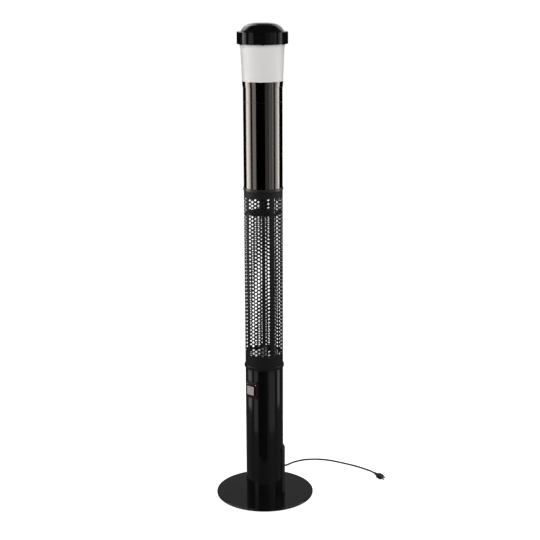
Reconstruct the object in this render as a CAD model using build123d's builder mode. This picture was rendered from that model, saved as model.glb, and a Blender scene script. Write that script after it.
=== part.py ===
from build123d import *
import math
import os

os.makedirs("parts", exist_ok=True)

# Infrared patio heater tower, in millimetres.
# The floor is z = 0 and the column's axis is Z. The front is -Y. Bearings are degrees from +X towards +Y.

# Clearances
slip = 0.2  # between a spigot and the bore that it slides into
seat_gap = 0.15  # between curved faces that lie on each other
pin_gap = 0.05  # between a pin and what turns on it
thread_gap = 0.05  # between a screw and its tapped hole
hole_gap = 0.3  # between a screw and its plain hole
edge_tolerance = 0.01  # within which an edge's radius counts as a wanted radius
small_round = 1.5  # edges of small moulded parts

# Base
base_radius = 220.0
base_thickness = 8.0
base_rim_round = 2.0
pad_height = 3.0
pad_radius = 12.0
pad_circle = 190.0
pad_count = 6
foot_flange = 4.0
foot_wall = 3.0
foot_height = 40.0
foot_bore = 12.0
foot_screw_circle = 55.0
foot_screw_count = 4
foot_screw_radius = 3.0
foot_head_radius = 5.0
foot_head_height = 3.4
foot_counterbore = 4.0

# Column
column_radius = 84.0
column_wall = 1.5
lower_column_length = 598.0
upper_column_length = 367.0
head_tube_length = 62.0
tube_edge = 0.3

# Rings at the two ends of the guard
bottom_ring_height = 17.0
bottom_ring_proud = 4.5
top_ring_height = 13.0
top_ring_proud = 2.5
spigot_height = 12.0
ring_wall = 3.4
ring_ledge = 3.0
ring_ledge_width = 19.0
ring_ledge_depth = 3.0

# Guard
guard_length = 783.0
guard_wall = 1.2
guard_sides = 36
hole_radius = 6.1
hole_pitch = 16.5
first_hole = 56.0
top_land = 29.0
first_column_bearing = -94.4
blank_bearings = (-64.4, -144.4)

# Tie rods, bulkheads and heat shields
rod_radius = 4.0
rod_circle = 69.0
rod_end = 12.0
rod_bearings = (-49.0, 180.0)
conduit_bearing = 49.0
conduit_wall = 1.0
nut_flats = 13.0
nut_height = 6.5
bulkhead_thickness = 2.0
bulkhead_bore = 11.0
shield_radius = 80.0
shield_thickness = 1.5
shield_bore = 4.2
lower_shield_height = 45.0
lower_shield_skirt = 12.0
upper_shield_drop = 99.0
upper_shield_skirt = 4.0
vent_sleeve_radius = 16.0
vent_sleeve_wall = 1.5

# Heating element
quartz_radius = 8.0
quartz_wall = 1.0
tube_seat = 14.0
holder_radius = 11.0
holder_length = 25.0
end_cap_length = 9.0
end_cap_gap = 0.3
filament_radius = 2.6

# Lamp head
joint_sleeve_length = 50.0
joint_sleeve_wall = 2.0
joint_screw_bearings = (60.0, 120.0)
joint_screw_offset = 13.0
joint_screw_radius = 2.0
joint_head_radius = 3.6
joint_head_height = 1.6
joint_screw_end = 1.0
cup_height = 24.0
cup_bottom_proud = 1.5
cup_top_proud = 3.2
cup_floor = 3.0
cup_wall = 3.0
lens_height = 154.0
lens_bottom_radius = 87.0
lens_top_radius = 93.5
lens_wall = 3.0
lens_lip_height = 7.0
lens_lip_proud = 3.3
lens_spigot = 7.0
collar_radius = 108.0
collar_height = 52.0
collar_wall = 3.0
collar_chamfer = 2.5
collar_ledge = 8.0
cap_plate_thickness = 3.0
cap_guide_height = 8.0
cap_guide_wall = 2.5
cap_screw_count = 6
cap_screw_radius = 2.0
dome_radius = 91.5
dome_height = 35.0
dome_curve = ((85.0, 10.5), (73.4, 22.7), (50.0, 31.8))
dome_foot_lean = 0.35
dome_wall = 2.5
dome_spigot = 7.0
core_width = 50.0
core_wall = 3.0
core_round = 4.0
board_width = 40.0
board_length = 134.0
board_thickness = 1.6
chip_size = 3.6
chip_height = 0.8
chip_rows = 8
chip_columns = 2
chip_pitch = 15.5
chip_spread = 20.0
driver_size = (80.0, 40.0, 28.0)

# Switch, set into the left front of the lower column
switch_bearing = -130.0
switch_height = 518.5
bezel_width = 62.0
bezel_height = 75.0
bezel_round = 5.0
bezel_proud = 5.5
recess_width = 36.0
recess_height = 41.0
recess_depth = 12.0
tub_wall = 2.5
tub_setback = 2.0
gasket_thickness = 1.0
gasket_inset = 1.5
flap_width = 41.5
flap_drop = 50.5
flap_thickness = 2.0
flap_gap = 0.4
window_width = 39.5
window_height = 42.0
window_proud = 8.5
window_wall = 1.6
window_round = 3.5
hinge_rise = 27.0
knuckle_radius = 2.4
knuckle_gap = 0.5
hinge_pin_radius = 1.0
hinge_pin_bite = 4.0
flange_width = 24.0
flange_height = 33.0
flange_thickness = 2.0
body_width = 21.0
body_height = 29.4
body_depth = 26.0
rocker_width = 17.0
rocker_half = 12.5
rocker_crown = 4.2
rocker_valley = 1.6
rocker_belly = 3.0
rocker_tilt = 9.0
rocker_gap = 0.5
rocker_pin_radius = 1.0
rocker_pin_depth = 1.0
switch_blade_length = 8.0
switch_blade_thickness = 0.8
switch_blade_width = 4.8

# Cover over the terminals, low on the right and the back of the column
cover_start = -24.0
cover_end = 112.0
cover_height = 212.0
cover_proud = 8.0
cover_wall = 2.5
cover_lift = 0.3
cover_round = 3.5
cover_screw_inset = 5.5
cover_screw_heights = (46.0, 118.0, 190.0)
cover_screw_radius = 2.0
cover_head_radius = 3.75
cover_head_height = 2.4
cover_spot_radius = 4.6
cover_spot_depth = 1.6
cover_boss_radius = 5.0
access_bearing = 60.0
access_width = 70.0
access_height = 120.0
access_middle = 100.0

# Cable gland, cord and plug
gland_bearing = 80.0
gland_height = 62.0
gland_spot_depth = 0.7
gland_spot_radius = 13.6
gland_flats = 22.0
gland_flange = 5.0
gland_nut_radius = 9.0
gland_nut_length = 14.0
gland_thread_radius = 7.9
gland_thread_length = 6.0
cord_radius = 4.0
cord_gap = 0.15
relief_length = 36.0
relief_root_radius = 7.0
relief_tip_radius = 5.2
coil_x = -5.0
coil_y = 330.0
coil_radius = 50.0
coil_turn_step = 8.8
coil_layer_rise = 8.9
coil_inward_quarters = 6
coil_climb_quarters = 2
coil_outward_quarters = 7
cord_rest = 0.1
bend_share = 0.45
relief_run = 36.0
cord_fall = (37.5, 214.0, 33.0)
cord_landing = (42.5, 251.0)
coil_entry_run = 34.0
coil_exit_run = 26.0
cord_step_down = (66.0, 272.0)
cord_floor_places = (
    (101.0, 284.0),
    (131.0, 321.0),
    (182.0, 354.0),
    (246.0, 363.0),
    (311.0, 350.0),
    (373.0, 316.0),
    (438.0, 276.0),
    (482.0, 237.0),
)
plug_run = 30.0
plug_place = (523.0, 172.0)
plug_heading = (12.0, -20.0)
plug_length = 34.0
plug_width = 27.0
plug_height = 21.0
plug_neck_length = 22.0
plug_neck_radius = 6.0
plug_neck_end_radius = 8.0
plug_round = 6.0
blade_reach = 17.0
blade_height = 6.3
blade_width = 1.5
blade_spacing = 12.7
blade_offset = 3.0
earth_pin_radius = 2.4
earth_pin_drop = 6.0

# Terminals, tip-over switch and the plate that carries them
chassis_width = 90.0
chassis_height = 215.0
chassis_thickness = 1.5
chassis_face = 6.0
chassis_tab = 28.0
chassis_screw_x = 20.0
chassis_screw_y = -14.0
chassis_screw_radius = 2.0
block_width = 52.0
block_depth = 28.0
block_height = 22.0
block_lift = 100.0
block_pole_count = 3
terminal_screw_height = 3.0
tip_width = 44.0
tip_depth = 30.0
tip_height = 50.0
tip_wall = 2.0
tip_drop = 30.0
tip_pivot_drop = 8.0
tip_pin_radius = 1.5
bob_reach = 26.0
bob_radius = 7.0
bob_length = 14.0
pendulum_arm = 4.0
pendulum_eye_radius = 3.0
pendulum_play = 0.6
lead_radius = 2.4
heater_lead_radius = 3.5
switch_lead_radius = 1.8
lead_bend = 30.0
grommet_lip = 2.0
grommet_wall = 1.2

# Heights of the stack, from the floor up
plate_top = pad_height + base_thickness
lower_top = plate_top + lower_column_length
guard_bottom = lower_top + bottom_ring_height
guard_top = guard_bottom + guard_length
upper_bottom = guard_top + top_ring_height
upper_top = upper_bottom + upper_column_length
head_top = upper_top + head_tube_length
cup_top = head_top + cup_height
lens_top = cup_top + lens_height
collar_top = lens_top + collar_height
dome_top = collar_top + dome_height

# Radii that follow from the column
column_bore = column_radius - column_wall
spigot_radius = column_bore - slip
guard_bore = column_radius - guard_wall
ring_bore = spigot_radius - ring_wall
cover_radius = column_radius + cover_proud

# Heights inside the guard
lower_ledge_top = lower_top + ring_ledge_depth
upper_ledge_top = guard_top + ring_ledge_depth
lower_shield_top = guard_bottom + lower_shield_height
upper_shield_top = guard_top - upper_shield_drop


def polar(radius, bearing, height=0.0):
    """a point at a radius and a bearing from the column's axis"""
    angle = math.radians(bearing)
    return (radius * math.cos(angle), radius * math.sin(angle), height)


def facing(radius, bearing, height):
    """a plane square to the radius there, with x along the tangent and y up"""
    angle = math.radians(bearing)
    return Plane(
        origin=polar(radius, bearing, height),
        x_dir=(-math.sin(angle), math.cos(angle), 0),
        z_dir=(math.cos(angle), math.sin(angle), 0),
    )


def straight_tube(radius, wall, bottom, top):
    """a straight tube on the column's axis, added to the part being made"""
    with BuildSketch(Plane.XY.offset(bottom)) as section:
        Circle(radius)
        Circle(radius - wall, mode=Mode.SUBTRACT)
    extrude(section.sketch, amount=top - bottom)


def turned(points, mode=Mode.ADD):
    """a body turned about the column's axis, from the (radius, height) points of its half section"""
    with BuildSketch(Plane.XZ) as section:
        with BuildLine():
            Polyline(*points, close=True)
        make_face()
    revolve(section.sketch, axis=Axis.Z, mode=mode)


def ring_slice(inner, outer, start, end, bottom, top, mode=Mode.ADD):
    """a slice of a ring about the column's axis, between two bearings"""
    with BuildSketch(Plane.XY.offset(bottom)) as section:
        with BuildLine():
            CenterArc((0, 0), inner, start, end - start)
            CenterArc((0, 0), outer, start, end - start)
            Line(polar(inner, start), polar(outer, start))
            Line(polar(inner, end), polar(outer, end))
        make_face()
    extrude(section.sketch, amount=top - bottom, mode=mode)


def round_holes(planes, radius, depth):
    """round holes that run back from each plane, cut from the part being made"""
    with Locations(*planes):
        Cylinder(radius, depth, align=(Align.CENTER, Align.CENTER, Align.MAX), mode=Mode.SUBTRACT)


def screws(planes, radius, length, head_radius, head_height):
    """screws whose heads sit on the planes and whose shanks run back from them"""
    with Locations(*planes):
        Cylinder(radius, length, align=(Align.CENTER, Align.CENTER, Align.MAX))
        Cylinder(head_radius, head_height, align=(Align.CENTER, Align.CENTER, Align.MIN))


def bend_radii(points):
    """the radius of each corner of a cord's route, as large as its two runs allow"""
    radii = []
    for before, corner, after in zip(points, points[1:], points[2:]):
        incoming = Vector(corner) - Vector(before)
        outgoing = Vector(after) - Vector(corner)
        turn = math.radians(incoming.get_angle(outgoing))
        radii.append(bend_share * min(incoming.length, outgoing.length) / math.tan(turn / 2))
    return radii


def report_tube(name, solid, path, radius):
    """prints a tube's volume against its section times its length, and gives the length"""
    length = sum(edge.length for edge in path.edges())
    print(f"{name}: length {length:.1f}, volume {solid.volume:.0f} of {math.pi * radius**2 * length:.0f}")
    return length


# Base plate, with counterbored holes for the foot's screws underneath
foot_screw_planes = [
    Plane(
        origin=polar(foot_screw_circle, 45 + 360 / foot_screw_count * i, pad_height),
        z_dir=(0, 0, -1),
    )
    for i in range(foot_screw_count)
]

with BuildPart() as base_plate:
    with BuildSketch(Plane.XY.offset(pad_height)):
        Circle(base_radius)
    extrude(amount=base_thickness)
    rims = base_plate.edges().filter_by(GeomType.CIRCLE).sort_by(Axis.Z)
    fillet(rims[-1], base_rim_round)
    fillet(rims[0], base_rim_round / 2)
    with Locations(*foot_screw_planes):
        CounterBoreHole(foot_screw_radius + hole_gap, foot_head_radius + 3 * hole_gap, foot_counterbore)

base_plate.part.label = "base_plate"
export_step(base_plate.part, "parts/base_plate.step")

with BuildPart() as base_pads:
    with BuildSketch():
        with PolarLocations(pad_circle, pad_count):
            Circle(pad_radius)
    extrude(amount=pad_height)

base_pads.part.label = "base_pads"
export_step(base_pads.part, "parts/base_pads.step")

# Foot that the column stands over, held down by screws from below
flange_top = plate_top + foot_flange
chassis_screw_planes = [
    Plane(origin=(side * chassis_screw_x, chassis_screw_y, flange_top + chassis_thickness))
    for side in (-1, 1)
]

with BuildPart() as column_foot:
    turned([
        (foot_bore, plate_top),
        (spigot_radius, plate_top),
        (spigot_radius, plate_top + foot_height),
        (spigot_radius - foot_wall, plate_top + foot_height),
        (spigot_radius - foot_wall, flange_top),
        (foot_bore, flange_top),
    ])
    with Locations(*[plane.offset(-base_thickness) for plane in foot_screw_planes]):
        Cylinder(
            foot_screw_radius + thread_gap,
            foot_flange,
            align=(Align.CENTER, Align.CENTER, Align.MAX),
            mode=Mode.SUBTRACT,
        )
    round_holes(chassis_screw_planes, chassis_screw_radius + thread_gap, chassis_thickness + foot_flange)

column_foot.part.label = "column_foot"
export_step(column_foot.part, "parts/column_foot.step")

with BuildPart() as foot_screws:
    screws(
        [plane.offset(-foot_counterbore) for plane in foot_screw_planes],
        foot_screw_radius,
        base_thickness - foot_counterbore + foot_flange,
        foot_head_radius,
        foot_head_height,
    )

foot_screws.part.label = "foot_screws"
export_step(foot_screws.part, "parts/foot_screws.step")

# Lower column, open for the switch and behind the terminal cover
tub_width = recess_width + 2 * tub_wall
tub_height = recess_height + 2 * tub_wall
cover_bottom = plate_top + cover_lift
cover_screw_bearings = [
    cover_start + cover_screw_inset,
    cover_end - cover_screw_inset,
]
cover_screw_planes = [
    facing(cover_radius - cover_spot_depth, bearing, cover_bottom + height)
    for bearing in cover_screw_bearings
    for height in cover_screw_heights
]
cover_screw_length = cover_radius - cover_spot_depth - column_bore + column_wall

with BuildPart() as lower_column:
    straight_tube(column_radius, column_wall, plate_top, lower_top)
    with BuildSketch(facing(column_radius + cover_proud, switch_bearing, switch_height)):
        Rectangle(tub_width + 2 * hole_gap, tub_height + 2 * hole_gap)
    extrude(amount=-column_radius / 2, mode=Mode.SUBTRACT)
    with BuildSketch(facing(column_radius + cover_proud, access_bearing, access_middle)):
        RectangleRounded(access_width, access_height, foot_bore)
    extrude(amount=-column_radius / 2, mode=Mode.SUBTRACT)
    round_holes(cover_screw_planes, cover_screw_radius + thread_gap, cover_screw_length)

lower_column.part.label = "lower_column"
export_step(lower_column.part, "parts/lower_column.step")

# Terminal cover, a curved shell that hugs the column, closed at its four sides
cover_top = cover_bottom + cover_height
cover_edge = math.degrees(cover_wall / column_radius)
gland_seat_radius = cover_radius - gland_spot_depth
gland_plane = facing(gland_seat_radius, gland_bearing, gland_height)

with BuildPart() as terminal_cover:
    ring_slice(column_radius + seat_gap, cover_radius, cover_start, cover_end, cover_bottom, cover_top)
    upright = terminal_cover.edges().filter_by(Axis.Z).sort_by_distance((0, 0, cover_top / 2))[-2:]
    top_arcs = terminal_cover.edges().filter_by(GeomType.CIRCLE).group_by(Axis.Z)[-1]
    crown = top_arcs.sort_by(SortBy.RADIUS)[-1]
    fillet(upright + [crown], cover_round)
    ring_slice(
        column_radius,
        cover_radius - cover_wall,
        cover_start + cover_edge,
        cover_end - cover_edge,
        cover_bottom + cover_wall,
        cover_top - cover_wall,
        mode=Mode.SUBTRACT,
    )
    with Locations(*[plane.offset(cover_spot_depth - cover_wall / 2) for plane in cover_screw_planes]):
        Cylinder(
            cover_boss_radius,
            cover_proud,
            align=(Align.CENTER, Align.CENTER, Align.MAX),
        )
    Cylinder(
        column_radius + seat_gap,
        2 * cover_height,
        align=(Align.CENTER, Align.CENTER, Align.MIN),
        mode=Mode.SUBTRACT,
    )
    with Locations(*[plane.offset(cover_proud) for plane in cover_screw_planes]):
        Cylinder(
            cover_spot_radius,
            cover_proud,
            align=(Align.CENTER, Align.CENTER, Align.MAX),
            mode=Mode.SUBTRACT,
        )
    round_holes(cover_screw_planes, cover_screw_radius + hole_gap, cover_screw_length)
    with BuildSketch(gland_plane):
        Circle(gland_spot_radius)
    extrude(amount=cover_proud, mode=Mode.SUBTRACT)
    with BuildSketch(gland_plane):
        Circle(gland_thread_radius + seat_gap)
    extrude(amount=-cover_proud, mode=Mode.SUBTRACT)

terminal_cover.part.label = "terminal_cover"
export_step(terminal_cover.part, "parts/terminal_cover.step")

with BuildPart() as cover_screws:
    screws(cover_screw_planes, cover_screw_radius, cover_screw_length, cover_head_radius, cover_head_height)

cover_screws.part.label = "cover_screws"
export_step(cover_screws.part, "parts/cover_screws.step")

# Cable gland through the cover, and the tapered strain relief outside it
relief_plane = gland_plane.offset(gland_flange + gland_nut_length)

with BuildPart() as cable_gland:
    with BuildSketch(gland_plane):
        RegularPolygon(gland_flats / 2, 6, major_radius=False)
    extrude(amount=gland_flange)
    with BuildSketch(gland_plane.offset(gland_flange)):
        Circle(gland_nut_radius)
    extrude(amount=gland_nut_length)
    with BuildSketch(gland_plane):
        Circle(gland_thread_radius)
    extrude(amount=-gland_thread_length)
    with BuildSketch(relief_plane):
        Circle(cord_radius + cord_gap)
    extrude(amount=-(gland_flange + gland_nut_length + gland_thread_length), mode=Mode.SUBTRACT)

cable_gland.part.label = "cable_gland"
export_step(cable_gland.part, "parts/cable_gland.step")

with BuildPart() as strain_relief:
    with BuildSketch(relief_plane):
        Circle(relief_root_radius)
    with BuildSketch(relief_plane.offset(relief_length)):
        Circle(relief_tip_radius)
    loft()
    with BuildSketch(relief_plane):
        Circle(cord_radius + cord_gap)
    extrude(amount=relief_length, mode=Mode.SUBTRACT)

strain_relief.part.label = "strain_relief"
export_step(strain_relief.part, "parts/strain_relief.step")

# Chassis plate that stands on the foot and carries the terminals and the tip-over switch
with BuildPart() as chassis_plate:
    with BuildSketch(Plane.YZ):
        with BuildLine():
            Polyline(
                (chassis_face, flange_top),
                (chassis_face, flange_top + chassis_height),
                (chassis_face - chassis_thickness, flange_top + chassis_height),
                (chassis_face - chassis_thickness, flange_top + chassis_thickness),
                (chassis_face - chassis_tab, flange_top + chassis_thickness),
                (chassis_face - chassis_tab, flange_top),
                close=True,
            )
        make_face()
    extrude(amount=chassis_width / 2, both=True)
    round_holes(chassis_screw_planes, chassis_screw_radius + hole_gap, chassis_thickness)

chassis_plate.part.label = "chassis_plate"
export_step(chassis_plate.part, "parts/chassis_plate.step")

# Terminal block on the back of the chassis plate
block_middle = chassis_face + block_depth / 2
pole_pitch = block_width / block_pole_count

with BuildPart() as terminal_block:
    with BuildSketch(Plane.XY.offset(block_lift)):
        with Locations((0, block_middle)):
            Rectangle(block_width, block_depth)
    extrude(amount=block_height)
    fillet(terminal_block.edges().filter_by(Axis.Z), small_round)
    with BuildSketch(Plane.XZ.offset(-chassis_face - block_depth)):
        with Locations((0, block_lift + block_height / 2)):
            with GridLocations(pole_pitch, 0, block_pole_count, 1):
                Circle(pole_pitch / 4)
    extrude(amount=block_depth / 3, mode=Mode.SUBTRACT)

terminal_block.part.label = "terminal_block"
export_step(terminal_block.part, "parts/terminal_block.step")

with BuildPart() as chassis_screws:
    screws(
        chassis_screw_planes,
        chassis_screw_radius,
        chassis_thickness + foot_flange,
        cover_head_radius,
        cover_head_height,
    )
    with BuildSketch(Plane.XZ.offset(-chassis_face - block_depth * 2 / 3)):
        with Locations((0, block_lift + block_height / 2)):
            with GridLocations(pole_pitch, 0, block_pole_count, 1):
                Circle(pole_pitch / 4 - hole_gap)
    extrude(amount=-terminal_screw_height)

chassis_screws.part.label = "chassis_screws"
export_step(chassis_screws.part, "parts/chassis_screws.step")

# Tip-over switch: a pendulum that hangs in an open box behind a plate
tip_back = chassis_face - chassis_thickness
tip_front = tip_back - tip_depth
tip_lift = flange_top + chassis_height - tip_height - tip_drop
tip_pivot_height = tip_lift + tip_height - tip_pivot_drop
tip_middle = (tip_back - tip_wall + tip_front) / 2

with BuildPart() as tip_switch_box:
    with BuildSketch(Plane.XZ.offset(-tip_back)):
        with Locations((0, tip_lift + tip_height / 2)):
            Rectangle(tip_width, tip_height)
    extrude(amount=tip_depth)
    with BuildSketch(Plane.XZ.offset(-tip_front)):
        with Locations((0, tip_lift + tip_height / 2)):
            Rectangle(tip_width - 2 * tip_wall, tip_height - 2 * tip_wall)
    extrude(amount=-(tip_depth - tip_wall), mode=Mode.SUBTRACT)
    with BuildSketch(Plane.XZ.offset(-tip_back)):
        with Locations((0, tip_pivot_height)):
            Circle(tip_pin_radius + thread_gap)
    extrude(amount=tip_wall, mode=Mode.SUBTRACT)

tip_switch_box.part.label = "tip_switch_box"
export_step(tip_switch_box.part, "parts/tip_switch_box.step")

with BuildPart() as tip_switch_plate:
    with BuildSketch(Plane.XZ.offset(-tip_front)):
        with Locations((0, tip_lift + tip_height / 2)):
            Rectangle(tip_width, tip_height)
        with Locations((0, tip_pivot_height)):
            Circle(tip_pin_radius + thread_gap, mode=Mode.SUBTRACT)
    extrude(amount=tip_wall)

tip_switch_plate.part.label = "tip_switch_plate"
export_step(tip_switch_plate.part, "parts/tip_switch_plate.step")

with BuildPart() as tip_pin:
    with BuildSketch(Plane.XZ.offset(-tip_back)):
        with Locations((0, tip_pivot_height)):
            Circle(tip_pin_radius)
    extrude(amount=tip_depth + tip_wall)

tip_pin.part.label = "tip_pin"
export_step(tip_pin.part, "parts/tip_pin.step")

with BuildPart() as tip_pendulum:
    with BuildSketch(Plane.XZ.offset(-tip_middle)):
        with Locations((0, tip_pivot_height)):
            Circle(pendulum_eye_radius)
    extrude(amount=(tip_depth - tip_wall) / 2 - pendulum_play, both=True)
    with BuildSketch(Plane.XZ.offset(-tip_middle)):
        with Locations((0, tip_pivot_height - bob_reach / 2)):
            Rectangle(pendulum_arm, bob_reach)
    extrude(amount=pendulum_arm / 2, both=True)
    with BuildSketch(Plane.XZ.offset(-tip_middle)):
        with Locations((0, tip_pivot_height - bob_reach)):
            Circle(bob_radius)
    extrude(amount=bob_length / 2, both=True)
    with BuildSketch(Plane.XZ.offset(-tip_middle)):
        with Locations((0, tip_pivot_height)):
            Circle(tip_pin_radius + pin_gap)
    extrude(amount=tip_depth, both=True, mode=Mode.SUBTRACT)

tip_pendulum.part.label = "tip_pendulum"
export_step(tip_pendulum.part, "parts/tip_pendulum.step")

# Switch bezel: a frame on the column's curve, with a tub that goes through the wall behind it
bezel_face = column_radius + bezel_proud
bezel_seat = column_radius + gasket_thickness + 2 * seat_gap
recess_floor = bezel_face - recess_depth
hinge_axis_height = switch_height + hinge_rise
hinge_plane = Plane(
    origin=polar(bezel_face, switch_bearing, hinge_axis_height),
    x_dir=(0, 0, 1),
    z_dir=facing(bezel_face, switch_bearing, 0).x_dir,
)
rocker_plane = Plane(
    origin=polar(recess_floor + rocker_pin_depth, switch_bearing, switch_height),
    x_dir=(0, 0, 1),
    z_dir=facing(bezel_face, switch_bearing, 0).x_dir,
)


def at_switch(radius):
    """the switch's own plane at a distance from the column's axis, x along the tangent and y up"""
    return facing(radius, switch_bearing, switch_height)


switch_outward = Axis(at_switch(0).origin, at_switch(0).z_dir)
flap_top = hinge_rise
flap_middle = flap_top - flap_drop / 2

with BuildPart() as switch_bezel:
    with BuildSketch(at_switch(recess_floor - tub_wall)):
        RectangleRounded(bezel_width, bezel_height, bezel_round)
    extrude(amount=recess_depth + tub_wall)
    Cylinder(bezel_seat, 2 * dome_top, mode=Mode.SUBTRACT)
    fillet(switch_bezel.faces().sort_by(switch_outward)[-1].edges(), small_round)
    with BuildSketch(at_switch(recess_floor - tub_wall)):
        Rectangle(tub_width, tub_height)
    extrude(amount=recess_depth + tub_wall - tub_setback)
    with BuildSketch(at_switch(recess_floor)):
        Rectangle(recess_width, recess_height)
    extrude(amount=recess_depth, mode=Mode.SUBTRACT)
    with BuildSketch(at_switch(recess_floor)):
        Rectangle(body_width + 2 * hole_gap, body_height + 2 * hole_gap)
    extrude(amount=-tub_wall, mode=Mode.SUBTRACT)
    with BuildSketch(at_switch(bezel_face - flap_thickness - flap_gap)):
        with Locations((0, flap_middle)):
            Rectangle(flap_width + 2 * flap_gap, flap_drop + 2 * flap_gap)
    extrude(amount=recess_depth, mode=Mode.SUBTRACT)
    with BuildSketch(hinge_plane):
        Circle(knuckle_radius + knuckle_gap)
    extrude(amount=flap_width / 2 + flap_gap, both=True, mode=Mode.SUBTRACT)
    with BuildSketch(hinge_plane.offset(-flap_width / 2 - hinge_pin_bite)):
        Circle(hinge_pin_radius + thread_gap)
    extrude(amount=flap_width + 2 * hinge_pin_bite, mode=Mode.SUBTRACT)

switch_bezel.part.label = "switch_bezel"
export_step(switch_bezel.part, "parts/switch_bezel.step")

with BuildPart() as switch_gasket:
    with BuildSketch(at_switch(recess_floor)):
        RectangleRounded(bezel_width - 2 * gasket_inset, bezel_height - 2 * gasket_inset, bezel_round)
        Rectangle(tub_width + 2 * hole_gap, tub_height + 2 * hole_gap, mode=Mode.SUBTRACT)
    extrude(amount=recess_depth)
    Cylinder(column_radius + seat_gap, 2 * dome_top, mode=Mode.SUBTRACT)
    Cylinder(column_radius + seat_gap + gasket_thickness, 2 * dome_top, mode=Mode.INTERSECT)

switch_gasket.part.label = "switch_gasket"
export_step(switch_gasket.part, "parts/switch_gasket.step")

# Clear splash flap over the rocker, a sheet with a hollow window, hung from a pin at the top of the bezel
with BuildPart() as splash_flap:
    with BuildSketch(at_switch(bezel_face - flap_thickness)):
        with Locations((0, flap_middle)):
            Rectangle(flap_width, flap_drop)
    extrude(amount=flap_thickness)
    with BuildSketch(at_switch(bezel_face)):
        RectangleRounded(window_width, window_height, window_round)
    extrude(amount=window_proud)
    fillet(splash_flap.faces().sort_by(switch_outward)[-1].edges(), small_round)
    with BuildSketch(at_switch(bezel_face - flap_thickness)):
        RectangleRounded(window_width - 2 * window_wall, window_height - 2 * window_wall, window_round - window_wall)
    extrude(amount=flap_thickness + window_proud - window_wall, mode=Mode.SUBTRACT)
    with BuildSketch(hinge_plane):
        Circle(knuckle_radius)
    extrude(amount=flap_width / 2, both=True)
    with BuildSketch(hinge_plane):
        Circle(hinge_pin_radius + pin_gap)
    extrude(amount=flap_width, both=True, mode=Mode.SUBTRACT)

splash_flap.part.label = "splash_flap"
export_step(splash_flap.part, "parts/splash_flap.step")

# Rocker switch in the tub: housing, blades, pin and the rocker itself, tilted to off
cavity_depth = rocker_belly + rocker_half * math.sin(math.radians(rocker_tilt)) + 2 * rocker_gap

with BuildPart() as switch_housing:
    with BuildSketch(at_switch(recess_floor)):
        RectangleRounded(flange_width, flange_height, small_round)
    extrude(amount=flange_thickness)
    with BuildSketch(at_switch(recess_floor)):
        Rectangle(body_width, body_height)
    extrude(amount=-body_depth)
    with BuildSketch(at_switch(recess_floor + flange_thickness)):
        Rectangle(rocker_width + 2 * rocker_gap, 2 * (rocker_half + 2 * rocker_gap))
    extrude(amount=-(flange_thickness + cavity_depth), mode=Mode.SUBTRACT)
    with BuildSketch(rocker_plane):
        Circle(rocker_pin_radius + thread_gap)
    extrude(amount=flange_width, both=True, mode=Mode.SUBTRACT)

switch_housing.part.label = "switch_housing"
export_step(switch_housing.part, "parts/switch_housing.step")

with BuildPart() as switch_rocker:
    with BuildSketch(rocker_plane.rotated((0, 0, rocker_tilt))):
        with BuildLine():
            Polyline(
                (-rocker_half, rocker_crown),
                (0, rocker_valley),
                (rocker_half, rocker_crown),
                (rocker_half, 0),
                (rocker_half / 2, -rocker_belly),
                (-rocker_half / 2, -rocker_belly),
                (-rocker_half, 0),
                close=True,
            )
        make_face()
    extrude(amount=rocker_width / 2, both=True)
    with BuildSketch(rocker_plane):
        Circle(rocker_pin_radius + pin_gap)
    extrude(amount=rocker_width, both=True, mode=Mode.SUBTRACT)

switch_rocker.part.label = "switch_rocker"
export_step(switch_rocker.part, "parts/switch_rocker.step")

with BuildPart() as switch_pins:
    with BuildSketch(hinge_plane):
        Circle(hinge_pin_radius)
    extrude(amount=flap_width / 2 + hinge_pin_bite, both=True)
    with BuildSketch(rocker_plane):
        Circle(rocker_pin_radius)
    extrude(amount=body_width / 2 - rocker_gap, both=True)

switch_pins.part.label = "switch_pins"
export_step(switch_pins.part, "parts/switch_pins.step")

with BuildPart() as switch_blades:
    with BuildSketch(at_switch(recess_floor - body_depth)):
        with GridLocations(body_width / 2, body_height / 2, 2, 2):
            Rectangle(switch_blade_thickness, switch_blade_width)
    extrude(amount=-switch_blade_length)

switch_blades.part.label = "switch_blades"
export_step(switch_blades.part, "parts/switch_blades.step")


# Rings at the ends of the guard, each with a spigot for the tube on either side
def ring_profile(bottom, top, proud, ledge_top):
    """half section of a ring with its bead, two spigots and an inner ledge"""
    upper_spigot = top + spigot_height
    lower_spigot = bottom - spigot_height
    bead = column_radius + proud
    shoulder = (top - bottom) / 4
    return [
        (ring_bore, lower_spigot),
        (spigot_radius, lower_spigot),
        (spigot_radius, bottom),
        (column_radius + proud / 3, bottom),
        (bead, bottom + shoulder),
        (bead, top - shoulder),
        (column_radius + proud / 3, top),
        (spigot_radius, top),
        (spigot_radius, upper_spigot),
        (ring_bore, upper_spigot),
        (ring_bore, ledge_top),
        (ring_bore - ring_ledge_width, ledge_top),
        (ring_bore - ring_ledge_width, ledge_top - ring_ledge),
        (ring_bore, ledge_top - ring_ledge),
    ]


all_rod_bearings = [*rod_bearings, conduit_bearing]


def rod_holes(top, depth, radius):
    """holes for the tie rods and the conduit, cut from the part being made"""
    planes = [Plane(origin=polar(rod_circle, bearing, top)) for bearing in all_rod_bearings]
    round_holes(planes, radius, depth)


bottom_bead_radius = column_radius + bottom_ring_proud
top_bead_radius = column_radius + top_ring_proud

with BuildPart() as guard_bottom_ring:
    turned(ring_profile(lower_top, guard_bottom, bottom_ring_proud, lower_ledge_top))
    bead_edges = guard_bottom_ring.edges().filter_by(
        lambda edge: edge.geom_type == GeomType.CIRCLE and edge.radius > bottom_bead_radius - edge_tolerance
    )
    fillet(bead_edges, bottom_ring_proud / 2)
    rod_holes(lower_ledge_top, ring_ledge, rod_radius + hole_gap)

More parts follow.
